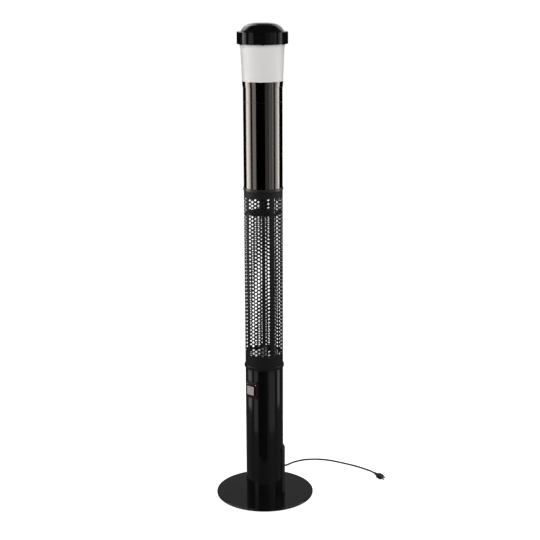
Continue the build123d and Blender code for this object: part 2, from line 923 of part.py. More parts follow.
guard_bottom_ring.part.label = "guard_bottom_ring"
export_step(guard_bottom_ring.part, "parts/guard_bottom_ring.step")

with BuildPart() as guard_top_ring:
    turned(ring_profile(guard_top, upper_bottom, top_ring_proud, upper_ledge_top))
    bead_edges = guard_top_ring.edges().filter_by(
        lambda edge: edge.geom_type == GeomType.CIRCLE and edge.radius > top_bead_radius - edge_tolerance
    )
    fillet(bead_edges, top_ring_proud / 2)
    rod_holes(upper_ledge_top, ring_ledge, rod_radius + hole_gap)

guard_top_ring.part.label = "guard_top_ring"
export_step(guard_top_ring.part, "parts/guard_top_ring.step")

# Guard: sheet rolled to a many-sided sleeve, one column of holes on each side, staggered by half a pitch
facet_angle = 360 / guard_sides
facet_half = math.radians(facet_angle / 2)
column_holes = int((guard_length - first_hole - top_land) // hole_pitch) + 1


def guard_facet(first, count):
    """one flat side of the guard, standing at bearing zero, with a column of holes"""
    with BuildPart() as facet:
        with BuildSketch(Plane.XY.offset(guard_bottom)):
            with BuildLine():
                reach = math.tan(facet_half)
                Polyline(
                    (guard_bore, -guard_bore * reach),
                    (column_radius, -column_radius * reach),
                    (column_radius, column_radius * reach),
                    (guard_bore, guard_bore * reach),
                    close=True,
                )
            make_face()
        extrude(amount=guard_length)
        if count:
            with BuildSketch(facing(column_radius, 0, guard_bottom + first)):
                with Locations(*[(0, hole_pitch * i) for i in range(count)]):
                    Circle(hole_radius)
            extrude(amount=-2 * guard_wall, mode=Mode.SUBTRACT)
    return facet.part


plain_facet = guard_facet(first_hole, 0)
even_facet = guard_facet(first_hole, column_holes)
odd_facet = guard_facet(first_hole + hole_pitch / 2, column_holes - 1)
blank_sides = [
    round((bearing - first_column_bearing) / facet_angle) % guard_sides
    for bearing in blank_bearings
]
facets = []
for side in range(guard_sides):
    pattern = plain_facet if side in blank_sides else (even_facet, odd_facet)[side % 2]
    facets.append(pattern.rotate(Axis.Z, first_column_bearing + side * facet_angle))

with BuildPart() as guard_sleeve:
    add(facets)

guard_sleeve.part.label = "guard_sleeve"
export_step(guard_sleeve.part, "parts/guard_sleeve.step")

# Bulkheads that lie on the rings' ledges and close the columns off from the heat
bulkhead_radius = ring_bore - slip
lower_bulkhead_top = lower_ledge_top + bulkhead_thickness
upper_bulkhead_top = upper_ledge_top + bulkhead_thickness

with BuildPart() as lower_bulkhead:
    straight_tube(bulkhead_radius, bulkhead_radius - bulkhead_bore, lower_ledge_top, lower_bulkhead_top)
    rod_holes(lower_bulkhead_top, bulkhead_thickness, rod_radius + hole_gap)

lower_bulkhead.part.label = "lower_bulkhead"
export_step(lower_bulkhead.part, "parts/lower_bulkhead.step")

with BuildPart() as upper_bulkhead:
    straight_tube(bulkhead_radius, bulkhead_radius - shield_bore, upper_ledge_top, upper_bulkhead_top)
    rod_holes(upper_bulkhead_top, bulkhead_thickness, rod_radius + hole_gap)

upper_bulkhead.part.label = "upper_bulkhead"
export_step(upper_bulkhead.part, "parts/upper_bulkhead.step")

# Grommet in the lower bulkhead, split round the heater's lead
with BuildPart() as lead_grommet:
    turned([
        (heater_lead_radius + seat_gap, lower_ledge_top - grommet_lip),
        (bulkhead_bore - slip - grommet_wall, lower_ledge_top - grommet_lip),
        (bulkhead_bore - slip, lower_ledge_top),
        (bulkhead_bore - slip, lower_bulkhead_top),
        (bulkhead_bore + grommet_lip, lower_bulkhead_top),
        (bulkhead_bore + grommet_lip, lower_bulkhead_top + grommet_lip),
        (heater_lead_radius + seat_gap, lower_bulkhead_top + grommet_lip),
    ])

lead_grommet.part.label = "lead_grommet"
export_step(lead_grommet.part, "parts/lead_grommet.step")


# Heat shields: dishes on the rods below and above the element
def shield(top, skirt):
    """a dish with its skirt down, added to the part being made"""
    turned([
        (shield_bore, top - shield_thickness),
        (shield_radius - shield_thickness, top - shield_thickness),
        (shield_radius - shield_thickness, top - skirt),
        (shield_radius, top - skirt),
        (shield_radius, top),
        (shield_bore, top),
    ])
    rod_holes(top, shield_thickness, rod_radius + hole_gap)


with BuildPart() as heat_shields:
    shield(lower_shield_top, lower_shield_skirt)
    shield(upper_shield_top, upper_shield_skirt)

heat_shields.part.label = "heat_shields"
export_step(heat_shields.part, "parts/heat_shields.step")

with BuildPart() as vent_sleeve:
    straight_tube(vent_sleeve_radius, vent_sleeve_wall, upper_shield_top, upper_ledge_top)

vent_sleeve.part.label = "vent_sleeve"
export_step(vent_sleeve.part, "parts/vent_sleeve.step")

# Tie rods, the hollow one that takes the lamp's lead, and their nuts
rod_bottom = lower_ledge_top - ring_ledge - rod_end
rod_top = upper_bulkhead_top + rod_end

with BuildPart() as tie_rods:
    for bearing in rod_bearings:
        with BuildSketch(Plane.XY.offset(rod_bottom)):
            with Locations(polar(rod_circle, bearing)):
                Circle(rod_radius)
        extrude(amount=rod_top - rod_bottom)

tie_rods.part.label = "tie_rods"
export_step(tie_rods.part, "parts/tie_rods.step")

with BuildPart() as lead_conduit:
    with BuildSketch(Plane.XY.offset(rod_bottom)):
        with Locations(polar(rod_circle, conduit_bearing)):
            Circle(rod_radius)
            Circle(rod_radius - conduit_wall, mode=Mode.SUBTRACT)
    extrude(amount=rod_top - rod_bottom)

lead_conduit.part.label = "lead_conduit"
export_step(lead_conduit.part, "parts/lead_conduit.step")

nut_bottoms = [
    lower_ledge_top - ring_ledge - nut_height,
    lower_bulkhead_top,
    lower_shield_top - shield_thickness - nut_height,
    lower_shield_top,
    upper_shield_top - shield_thickness - nut_height,
    upper_shield_top,
    upper_ledge_top - ring_ledge - nut_height,
    upper_bulkhead_top,
]

with BuildPart() as rod_nuts:
    for nut_bottom in nut_bottoms:
        for bearing in all_rod_bearings:
            with BuildSketch(Plane.XY.offset(nut_bottom)):
                with Locations(polar(rod_circle, bearing)):
                    RegularPolygon(nut_flats / 2, 6, major_radius=False)
                    Circle(rod_radius + thread_gap, mode=Mode.SUBTRACT)
            extrude(amount=nut_height)

rod_nuts.part.label = "rod_nuts"
export_step(rod_nuts.part, "parts/rod_nuts.step")

# Heating element: a quartz tube in a ceramic holder at each end
lower_holder_top = lower_shield_top + holder_length
upper_holder_top = upper_shield_top - shield_thickness
upper_holder_bottom = upper_holder_top - holder_length
tube_bottom = lower_holder_top - tube_seat
tube_top = upper_holder_bottom + tube_seat
tube_bore = quartz_radius - quartz_wall

with BuildPart() as element_holders:
    for holder_bottom, seat_bottom in (
        (lower_shield_top, tube_bottom),
        (upper_holder_bottom, upper_holder_bottom),
    ):
        with BuildSketch(Plane.XY.offset(holder_bottom)):
            Circle(holder_radius)
        extrude(amount=holder_length)
        with BuildSketch(Plane.XY.offset(seat_bottom)):
            Circle(quartz_radius + seat_gap)
        extrude(amount=tube_seat, mode=Mode.SUBTRACT)

element_holders.part.label = "element_holders"
export_step(element_holders.part, "parts/element_holders.step")

with BuildPart() as quartz_tube:
    straight_tube(quartz_radius, quartz_wall, tube_bottom, tube_top)

quartz_tube.part.label = "quartz_tube"
export_step(quartz_tube.part, "parts/quartz_tube.step")

# Carbon strand, straight between its two metal caps
with BuildPart() as carbon_strand:
    for cap_bottom in (tube_bottom, tube_top - end_cap_length):
        with BuildSketch(Plane.XY.offset(cap_bottom)):
            Circle(tube_bore - end_cap_gap)
        extrude(amount=end_cap_length)
    with BuildSketch(Plane.XY.offset(tube_bottom + end_cap_length + pin_gap)):
        Circle(filament_radius)
    extrude(amount=tube_top - tube_bottom - 2 * (end_cap_length + pin_gap))

carbon_strand.part.label = "carbon_strand"
export_step(carbon_strand.part, "parts/carbon_strand.step")

# Upper column, the sleeve and screws that join it to the head tube, and the head tube
joint_screw_planes = [
    facing(column_radius, bearing, upper_top + offset)
    for bearing in joint_screw_bearings
    for offset in (-joint_screw_offset, joint_screw_offset)
]
joint_screw_length = column_wall + slip + joint_sleeve_wall + joint_screw_end

with BuildPart() as upper_column:
    straight_tube(column_radius, column_wall, upper_bottom, upper_top)
    seam = upper_column.edges().filter_by(GeomType.CIRCLE).group_by(Axis.Z)[-1].sort_by(SortBy.RADIUS)[-1]
    chamfer(seam, tube_edge)
    round_holes(joint_screw_planes, joint_screw_radius + hole_gap, joint_screw_length)

upper_column.part.label = "upper_column"
export_step(upper_column.part, "parts/upper_column.step")

with BuildPart() as head_tube:
    straight_tube(column_radius, column_wall, upper_top, head_top)
    seam = head_tube.edges().filter_by(GeomType.CIRCLE).group_by(Axis.Z)[0].sort_by(SortBy.RADIUS)[-1]
    chamfer(seam, tube_edge)
    round_holes(joint_screw_planes, joint_screw_radius + hole_gap, joint_screw_length)

head_tube.part.label = "head_tube"
export_step(head_tube.part, "parts/head_tube.step")

with BuildPart() as joint_sleeve:
    straight_tube(
        spigot_radius,
        joint_sleeve_wall,
        upper_top - joint_sleeve_length / 2,
        upper_top + joint_sleeve_length / 2,
    )
    round_holes(joint_screw_planes, joint_screw_radius + thread_gap, 2 * joint_screw_length)

joint_sleeve.part.label = "joint_sleeve"
export_step(joint_sleeve.part, "parts/joint_sleeve.step")

with BuildPart() as joint_screws:
    screws(
        [plane.offset(seat_gap) for plane in joint_screw_planes],
        joint_screw_radius,
        joint_screw_length,
        joint_head_radius,
        joint_head_height,
    )

joint_screws.part.label = "joint_screws"
export_step(joint_screws.part, "parts/joint_screws.step")

# Lamp cup that carries the lens and the core
cup_bottom_radius = column_radius + cup_bottom_proud
cup_top_radius = column_radius + cup_top_proud
cup_bore = cup_top_radius - cup_wall
core_floor = head_top + cup_floor

with BuildPart() as lamp_cup:
    turned([
        (shield_bore, head_top),
        (spigot_radius - cup_wall, head_top),
        (spigot_radius - cup_wall, head_top - spigot_height),
        (spigot_radius, head_top - spigot_height),
        (spigot_radius, head_top),
        (cup_bottom_radius, head_top),
        (cup_top_radius, cup_top),
        (cup_bore, cup_top),
        (cup_bore, cup_top - lens_spigot - slip),
        (cup_bore - cup_top_proud + cup_bottom_proud, core_floor),
        (shield_bore, core_floor),
    ])

lamp_cup.part.label = "lamp_cup"
export_step(lamp_cup.part, "parts/lamp_cup.step")

# Frosted lens, standing on the cup's rim
lens_slope = (lens_top_radius - lens_bottom_radius) / lens_height
lens_lip_radius = lens_top_radius + lens_lip_proud
lip_bottom = lens_top - lens_lip_height
spigot_outer = cup_bore - slip

with BuildPart() as diffuser_lens:
    turned([
        (spigot_outer - lens_wall, cup_top - lens_spigot),
        (spigot_outer, cup_top - lens_spigot),
        (spigot_outer, cup_top),
        (lens_bottom_radius, cup_top),
        (lens_top_radius - lens_slope * 2 * lens_lip_height, lens_top - 2 * lens_lip_height),
        (lens_lip_radius, lip_bottom),
        (lens_lip_radius, lens_top),
        (lens_top_radius - lens_wall, lens_top),
        (spigot_outer - lens_wall, cup_top),
    ])

diffuser_lens.part.label = "diffuser_lens"
export_step(diffuser_lens.part, "parts/diffuser_lens.step")

# Aluminium core that carries the light boards and holds the cap up
with BuildPart() as lamp_core:
    with BuildSketch(Plane.XY.offset(core_floor)):
        RectangleRounded(core_width, core_width, core_round)
        Rectangle(core_width - 2 * core_wall, core_width - 2 * core_wall, mode=Mode.SUBTRACT)
    extrude(amount=lens_top - core_floor)

lamp_core.part.label = "lamp_core"
export_step(lamp_core.part, "parts/lamp_core.step")

board_middle = (core_floor + lens_top) / 2
board_planes = [facing(core_width / 2, 90 * quarter, board_middle) for quarter in range(4)]

with BuildPart() as light_boards:
    for plane in board_planes:
        with BuildSketch(plane):
            Rectangle(board_width, board_length)
        extrude(amount=board_thickness)
        with BuildSketch(plane.offset(board_thickness)):
            with GridLocations(chip_spread, chip_pitch, chip_columns, chip_rows):
                Rectangle(chip_size, chip_size)
        extrude(amount=chip_height)

light_boards.part.label = "light_boards"
export_step(light_boards.part, "parts/light_boards.step")

# Lamp driver, hung under the cup's floor inside the head tube
driver_length, driver_width, driver_depth = driver_size

with BuildPart() as lamp_driver:
    with BuildSketch(Plane.XY.offset(head_top - driver_length)):
        RectangleRounded(driver_width, driver_depth, small_round)
    extrude(amount=driver_length)

lamp_driver.part.label = "lamp_driver"
export_step(lamp_driver.part, "parts/lamp_driver.step")

# Cap: a plate on the core, a collar round it and a dome on top
plate_radius = collar_radius - collar_wall - slip
ledge_bottom = lens_top + cap_plate_thickness
lens_bore_slope = (lens_top_radius - spigot_outer) / lens_height
guide_radius = lens_top_radius - lens_wall - slip - cap_guide_height * lens_bore_slope
cap_screw_circle = plate_radius - collar_ledge / 2
cap_screw_planes = [
    Plane(origin=polar(cap_screw_circle, 360 / cap_screw_count * (i + 0.5), lens_top), z_dir=(0, 0, -1))
    for i in range(cap_screw_count)
]

with BuildPart() as cap_plate:
    turned([
        (0, lens_top),
        (guide_radius - cap_guide_wall, lens_top),
        (guide_radius - cap_guide_wall, lens_top - cap_guide_height),
        (guide_radius, lens_top - cap_guide_height),
        (guide_radius, lens_top),
        (plate_radius, lens_top),
        (plate_radius, ledge_bottom),
        (0, ledge_bottom),
    ])
    round_holes(cap_screw_planes, cap_screw_radius + hole_gap, cap_plate_thickness)

cap_plate.part.label = "cap_plate"
export_step(cap_plate.part, "parts/cap_plate.step")

dome_seat_radius = dome_radius - dome_wall - slip
ledge_thickness = 2 * cap_plate_thickness

with BuildPart() as cap_collar:
    turned([
        (collar_radius - collar_wall, lens_top),
        (collar_radius, lens_top),
        (collar_radius, collar_top),
        (dome_seat_radius, collar_top),
        (dome_seat_radius, collar_top - collar_wall),
        (collar_radius - collar_wall, collar_top - collar_wall),
        (collar_radius - collar_wall, ledge_bottom + ledge_thickness),
        (collar_radius - collar_wall - collar_ledge, ledge_bottom + ledge_thickness),
        (collar_radius - collar_wall - collar_ledge, ledge_bottom),
        (collar_radius - collar_wall, ledge_bottom),
    ])
    outer_rims = cap_collar.edges().filter_by(
        lambda edge: edge.geom_type == GeomType.CIRCLE and edge.radius > collar_radius - edge_tolerance
    )
    chamfer(outer_rims.sort_by(Axis.Z)[-1], collar_chamfer)
    chamfer(outer_rims.sort_by(Axis.Z)[0], collar_chamfer / 2)
    round_holes(
        [plane.offset(-cap_plate_thickness) for plane in cap_screw_planes],
        cap_screw_radius + thread_gap,
        ledge_thickness,
    )

cap_collar.part.label = "cap_collar"
export_step(cap_collar.part, "parts/cap_collar.step")

with BuildPart() as cap_screws:
    screws(
        cap_screw_planes,
        cap_screw_radius,
        cap_plate_thickness + ledge_thickness,
        collar_ledge / 2 - hole_gap,
        cover_head_height,
    )

cap_screws.part.label = "cap_screws"
export_step(cap_screws.part, "parts/cap_screws.step")

dome_spigot_radius = dome_seat_radius - slip
dome_ledge_radius = dome_radius - 3 * dome_wall / 4


def dome_body(inset, mode):
    """the dome's full body, drawn in by an inset, added to or taken from the part being made"""
    foot = (dome_radius - inset, collar_top)
    crown = (0, dome_top - inset)
    shoulder = [(radius - inset, collar_top + height - inset) for radius, height in dome_curve]
    with BuildSketch(Plane.XZ) as section:
        with BuildLine():
            Spline(foot, *shoulder, crown, tangents=[(-dome_foot_lean, 1), (-1, 0)])
            Polyline(crown, (0, collar_top), foot)
        make_face()
    revolve(section.sketch, axis=Axis.Z, mode=mode)


with BuildPart() as cap_dome:
    dome_body(0, Mode.ADD)
    dome_body(dome_wall, Mode.SUBTRACT)
    turned([
        (dome_spigot_radius - dome_wall, collar_top - dome_spigot),
        (dome_spigot_radius, collar_top - dome_spigot),
        (dome_spigot_radius, collar_top),
        (dome_ledge_radius, collar_top),
        (dome_ledge_radius, collar_top + dome_wall),
        (dome_spigot_radius - dome_wall, collar_top + dome_wall),
    ])

cap_dome.part.label = "cap_dome"
export_step(cap_dome.part, "parts/cap_dome.step")


# Leads inside the column
def lead(points, radius, bend):
    """a lead along straight runs with rounded corners, added to the part being made"""
    with BuildLine() as route:
        FilletPolyline(*points, radius=bend)
    with BuildSketch(Plane(origin=route.line @ 0, z_dir=route.line % 0)) as section:
        Circle(radius)
    sweep(section.sketch, path=route.line)


relief_tip = relief_plane.offset(relief_length).origin
supply_foot = polar(block_middle / math.sin(math.radians(gland_bearing)), gland_bearing, gland_height)

with BuildPart() as supply_lead:
    lead(
        [relief_tip, supply_foot, (supply_foot[0], supply_foot[1], block_lift)],
        cord_radius,
        lead_bend,
    )

supply_lead.part.label = "supply_lead"
export_step(supply_lead.part, "parts/supply_lead.step")

block_top = block_lift + block_height
heater_lead_points = [
    (0, block_middle, block_top),
    (0, block_middle, lower_top - 4 * lead_bend),
    (0, 0, lower_top - 2 * lead_bend),
    (0, 0, lower_shield_top),
]

with BuildPart() as heater_lead:
    lead(heater_lead_points, heater_lead_radius, 2 * lead_bend)

heater_lead.part.label = "heater_lead"
export_step(heater_lead.part, "parts/heater_lead.step")

conduit_x, conduit_y = polar(rod_circle, conduit_bearing)[:2]
lamp_lead_x = block_width / 3
lamp_lead_points = [
    (lamp_lead_x, block_middle, block_top),
    (lamp_lead_x, block_middle, rod_bottom - 5 * lead_bend),
    (conduit_x, conduit_y, rod_bottom - 2 * lead_bend),
    (conduit_x, conduit_y, rod_top + 3 * lead_bend),
    (0, 0, rod_top + 6 * lead_bend),
    (0, 0, head_top - driver_length),
]

with BuildPart() as lamp_lead:
    lead(lamp_lead_points, lead_radius, lead_bend)

lamp_lead.part.label = "lamp_lead"
export_step(lamp_lead.part, "parts/lamp_lead.step")

switch_lead_x = -block_width / 3
blade_end_radius = recess_floor - body_depth - switch_blade_length

with BuildPart() as switch_lead:
    lead(
        [
            polar(blade_end_radius, switch_bearing, switch_height),
            polar(block_middle, switch_bearing, switch_height),
            (switch_lead_x, block_middle, switch_height - 4 * lead_bend),
            (switch_lead_x, block_middle, block_top),
        ],
        switch_lead_radius,
        lead_bend / 3,
    )

switch_lead.part.label = "switch_lead"
export_step(switch_lead.part, "parts/switch_lead.step")

# Coil of cord behind the column, which winds inwards on the floor, climbs a layer and winds outwards on top
floor_height = cord_radius + cord_rest
cord_end_run = 2 * cord_radius
coil_quarters = coil_inward_quarters + coil_climb_quarters + coil_outward_quarters


def coil_place(quarter):
    """the coil's radius, height and their rates per quarter turn, at a count of quarter turns"""
    step = coil_turn_step / 4
    climbed = min(max((quarter - coil_inward_quarters) / coil_climb_quarters, 0), 1)
    inward = min(quarter, coil_inward_quarters)
    outward = max(quarter - coil_inward_quarters - coil_climb_quarters, 0)
    turning = coil_climb_quarters * (climbed - climbed**2)
    radius = coil_radius - step * (inward - outward + turning)
    height = floor_height + coil_layer_rise * (3 * climbed**2 - 2 * climbed**3)
    radius_rate = -step * (1 - 2 * climbed)
    height_rate = coil_layer_rise * 6 * (climbed - climbed**2) / coil_climb_quarters
    return radius, height, radius_rate, height_rate


def coil_knot(quarter):
    """the point on the coil and its direction at a count of quarter turns"""
    radius, height, radius_rate, height_rate = coil_place(quarter)
    outward = Vector(*polar(1, 90 * quarter))
    along = Vector(*polar(1, 90 * quarter + 90))
    point = Vector(coil_x, coil_y, height) + outward * radius
    direction = along * (radius * math.pi / 2) + outward * radius_rate + Vector(0, 0, height_rate)
    return point, direction.normalized()


def biarc_joint(start, start_direction, end, end_direction):
    """the point where two arcs meet that leave start and reach end in the given directions"""
    across = end - start
    both = start_direction + end_direction
    spread = 2 * (1 - start_direction.dot(end_direction))
    reach = (math.sqrt(across.dot(both) ** 2 + spread * across.dot(across)) - across.dot(both)) / spread
    return (start + end + (start_direction - end_direction) * reach) / 2


knots = [coil_knot(quarter) for quarter in range(coil_quarters + 1)]
first_point, first_direction = knots[0]
last_point, last_direction = knots[-1]
coil_in = first_point - first_direction * cord_end_run
coil_out = last_point + last_direction * cord_end_run

with BuildPart() as cord_coil:
    with BuildLine() as coil_route:
        Line(coil_in, first_point)
        for (start, start_direction), (end, end_direction) in zip(knots, knots[1:]):
            joint = biarc_joint(start, start_direction, end, end_direction)
            first_arc = TangentArc(start, joint, tangent=start_direction)
            TangentArc(joint, end, tangent=first_arc % 1)
        Line(last_point, coil_out)
    with BuildSketch(Plane(origin=coil_in, z_dir=first_direction)):
        Circle(cord_radius)
    sweep(path=coil_route.line)

coil_length = report_tube("cord_coil", cord_coil.part, coil_route.line, cord_radius)
samples_per_turn = 72
sample_count = coil_quarters * samples_per_turn // 4
samples = [coil_knot(sample * 4 / samples_per_turn)[0] for sample in range(sample_count)]
least_gap = min(
    (samples[i] - samples[j]).length - 2 * cord_radius
    for i in range(len(samples))
    for j in range(i + samples_per_turn // 2, len(samples))
)
print(f"cord_coil: least gap to itself {least_gap:.2f}")
cord_coil.part.label = "cord_coil"
export_step(cord_coil.part, "parts/cord_coil.step")

# Cord from the strain relief down to the coil
relief_out = relief_plane.z_dir
cord_drop_points = [
    relief_tip,
    relief_tip + relief_out * relief_run,
    cord_fall,
    (*cord_landing, floor_height),
    coil_in - first_direction * coil_entry_run,
    coil_in,
]
drop_radii = bend_radii(cord_drop_points)
print("cord_drop radii", [round(radius) for radius in drop_radii])

with BuildPart() as cord_drop:
    with BuildLine() as drop_route:
        FilletPolyline(*cord_drop_points, radius=drop_radii)
    with BuildSketch(Plane(origin=relief_tip, z_dir=relief_out)):
        Circle(cord_radius)
    sweep(path=drop_route.line)

drop_length = report_tube("cord_drop", cord_drop.part, drop_route.line, cord_radius)
cord_drop.part.label = "cord_drop"
export_step(cord_drop.part, "parts/cord_drop.step")

# Cord from the coil along the floor to its plug
plug_axis_height = plug_height / 2
plug_seat = Vector(*plug_place, plug_axis_height)
plug_direction = Vector(*plug_heading, 0).normalized()
cord_run_points = [
    coil_out,
    coil_out + last_direction * coil_exit_run,
    (*cord_step_down, coil_out.Z),
    *[(*place, floor_height) for place in cord_floor_places],
    plug_seat - plug_direction * plug_run,
    plug_seat,
]
run_radii = bend_radii(cord_run_points)
print("cord_run radii", [round(radius) for radius in run_radii])

with BuildPart() as cord_run:
    with BuildLine() as run_route:
        FilletPolyline(*cord_run_points, radius=run_radii)
    with BuildSketch(Plane(origin=coil_out, z_dir=last_direction)):
        Circle(cord_radius)
    sweep(path=run_route.line)

run_length = report_tube("cord_run", cord_run.part, run_route.line, cord_radius)
cord_run.part.label = "cord_run"
export_step(cord_run.part, "parts/cord_run.step")
cord_length = relief_length + drop_length + coil_length + run_length
print(f"cord: {cord_length:.0f} from the gland to the plug")

# Plug lying on its flat side, with two blades and an earth pin
plug_plane = Plane(origin=plug_seat, x_dir=Vector(0, 0, 1).cross(plug_direction), z_dir=plug_direction)
plug_body_plane = plug_plane.offset(plug_neck_length)
plug_face_plane = plug_body_plane.offset(plug_length)

with BuildPart() as plug_body:
    with BuildSketch(plug_plane):
        Circle(plug_neck_radius)
    with BuildSketch(plug_body_plane):
        Circle(plug_neck_end_radius)
    loft()
    with BuildSketch(plug_body_plane):
        RectangleRounded(plug_width, plug_height, plug_round)
    extrude(amount=plug_length)
    fillet(plug_body.faces().sort_by(Axis(plug_seat, plug_direction))[-1].edges(), small_round)

plug_body.part.label = "plug_body"
export_step(plug_body.part, "parts/plug_body.step")

with BuildPart() as plug_pins:
    with BuildSketch(plug_face_plane):
        with Locations((0, blade_offset)):
            with GridLocations(blade_spacing, 0, 2, 1):
                Rectangle(blade_width, blade_height)
        with Locations((0, -earth_pin_drop)):
            Circle(earth_pin_radius)
    extrude(amount=blade_reach)

plug_pins.part.label = "plug_pins"
export_step(plug_pins.part, "parts/plug_pins.step")
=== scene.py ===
import math

import bmesh
import bpy
from mathutils import Matrix, Vector


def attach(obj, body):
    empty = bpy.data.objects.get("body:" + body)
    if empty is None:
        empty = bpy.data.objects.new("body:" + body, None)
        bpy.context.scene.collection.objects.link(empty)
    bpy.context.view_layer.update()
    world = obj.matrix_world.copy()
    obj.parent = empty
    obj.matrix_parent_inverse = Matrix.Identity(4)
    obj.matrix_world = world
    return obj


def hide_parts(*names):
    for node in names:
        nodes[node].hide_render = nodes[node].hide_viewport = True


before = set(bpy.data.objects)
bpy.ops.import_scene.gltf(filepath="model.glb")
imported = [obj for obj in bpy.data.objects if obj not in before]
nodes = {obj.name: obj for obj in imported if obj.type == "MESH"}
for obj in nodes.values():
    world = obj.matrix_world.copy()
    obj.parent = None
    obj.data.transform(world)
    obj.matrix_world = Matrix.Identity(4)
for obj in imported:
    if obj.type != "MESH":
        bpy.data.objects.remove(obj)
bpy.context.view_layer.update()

scene = bpy.context.scene
scene.view_settings.view_transform = "Standard"


# camera: fitted to the tower's outline in the photograph
cameraSetup = {
    "place": (0.0, -5.003, 2.298),
    "pitchDown": 13.99,
    "yawRight": 0.315,
    "roll": -0.26,
    "lens": 78.27,
    "sensor": 36.0,
    "farEnd": 500.0,
}

cameraData = bpy.data.cameras.new("photoCamera")
cameraData.lens = cameraSetup["lens"]
cameraData.sensor_width = cameraSetup["sensor"]
cameraData.clip_end = cameraSetup["farEnd"]
camera = bpy.data.objects.new("photoCamera", cameraData)
scene.collection.objects.link(camera)
camera.matrix_world = (
    Matrix.Translation(cameraSetup["place"])
    @ Matrix.Rotation(-math.radians(cameraSetup["yawRight"]), 4, "Z")
    @ Matrix.Rotation(math.radians(90 - cameraSetup["pitchDown"]), 4, "X")
    @ Matrix.Rotation(math.radians(cameraSetup["roll"]), 4, "Z")
)
scene.camera = camera
print("camera placed")


# helpers
def clearSelection():
    if bpy.context.object and bpy.context.object.mode != "OBJECT":
        bpy.ops.object.mode_set(mode="OBJECT")
    bpy.ops.object.select_all(action="DESELECT")


def selectOnly(piece):
    clearSelection()
    piece.select_set(True)
    bpy.context.view_layer.objects.active = piece


def wireUp(owner, name, **inputs):
    # adds a shader node to a material or the world; an input goes by its name, or by i and its number,
    # and takes another node's socket or a value; set_ marks a setting of the node itself
    node = owner.node_tree.nodes.new(name)
    for key, value in inputs.items():
        if key.startswith("set_"):
            setattr(node, key[4:], value)
    for key, value in inputs.items():
        if key.startswith("set_"):
            continue
        socket = node.inputs[int(key[1:]) if key.startswith("i") and key[1:].isdigit() else key]
        if isinstance(value, bpy.types.NodeSocket):
            owner.node_tree.links.new(value, socket)
        else:
            socket.default_value = value
    return node


def emptyMaterial(name):
    material = bpy.data.materials.new(name)
    material.use_nodes = True
    material.node_tree.nodes.clear()
    return material


def noiseRange(material, place, scale, low, high, detail, fromMin=0.35, fromMax=0.65):
    # a cloudy pattern, spread from its middle values to the range from low to high
    noise = wireUp(
        material, "ShaderNodeTexNoise", Vector=place, Scale=scale, Detail=detail, Roughness=0.5,
    )
    spread = wireUp(
        material, "ShaderNodeMapRange", Value=noise.outputs["Fac"],
        i1=fromMin, i2=fromMax, i3=low, i4=high,
    )
    return spread.outputs["Result"]


grainDepth = 0.0002


def coatedFinish(name, look):
    # paint, plating, rubber or plastic: worn colour, uneven gloss and a fine surface grain
    material = emptyMaterial(name)
    place = wireUp(material, "ShaderNodeTexCoord").outputs["Object"]
    if "stretch" in look:
        stretched = wireUp(material, "ShaderNodeMapping", Vector=place, Scale=look["stretch"])
        place = stretched.outputs["Vector"]
    wear = noiseRange(
        material, place, look["wearScale"], 0.0, look["wear"], detail=8.0, fromMin=0.5, fromMax=0.75,
    )
    colour = wireUp(
        material, "ShaderNodeMix", set_data_type="RGBA", i0=wear,
        i6=(*look["colour"], 1.0), i7=(*look["wornColour"], 1.0),
    )
    gloss = noiseRange(material, place, look["glossScale"], *look["roughness"], detail=5.0)
    grain = wireUp(material, "ShaderNodeTexNoise", Vector=place, Scale=look["grainScale"], Detail=3.0)
    bump = wireUp(
        material, "ShaderNodeBump", Strength=look["grain"], Distance=grainDepth,
        Height=grain.outputs["Fac"],
    )
    shader = wireUp(
        material, "ShaderNodeBsdfPrincipled", Metallic=look.get("metallic", 0.0), Roughness=gloss,
        Normal=bump.outputs["Normal"], IOR=look.get("ior", 1.5),
    )
    material.node_tree.links.new(colour.outputs[2], shader.inputs["Base Color"])
    shader.inputs["Specular IOR Level"].default_value = look.get("specular", 0.5)
    shader.inputs["Transmission Weight"].default_value = look.get("transmission", 0.0)
    wireUp(material, "ShaderNodeOutputMaterial", Surface=shader.outputs["BSDF"])
    return material


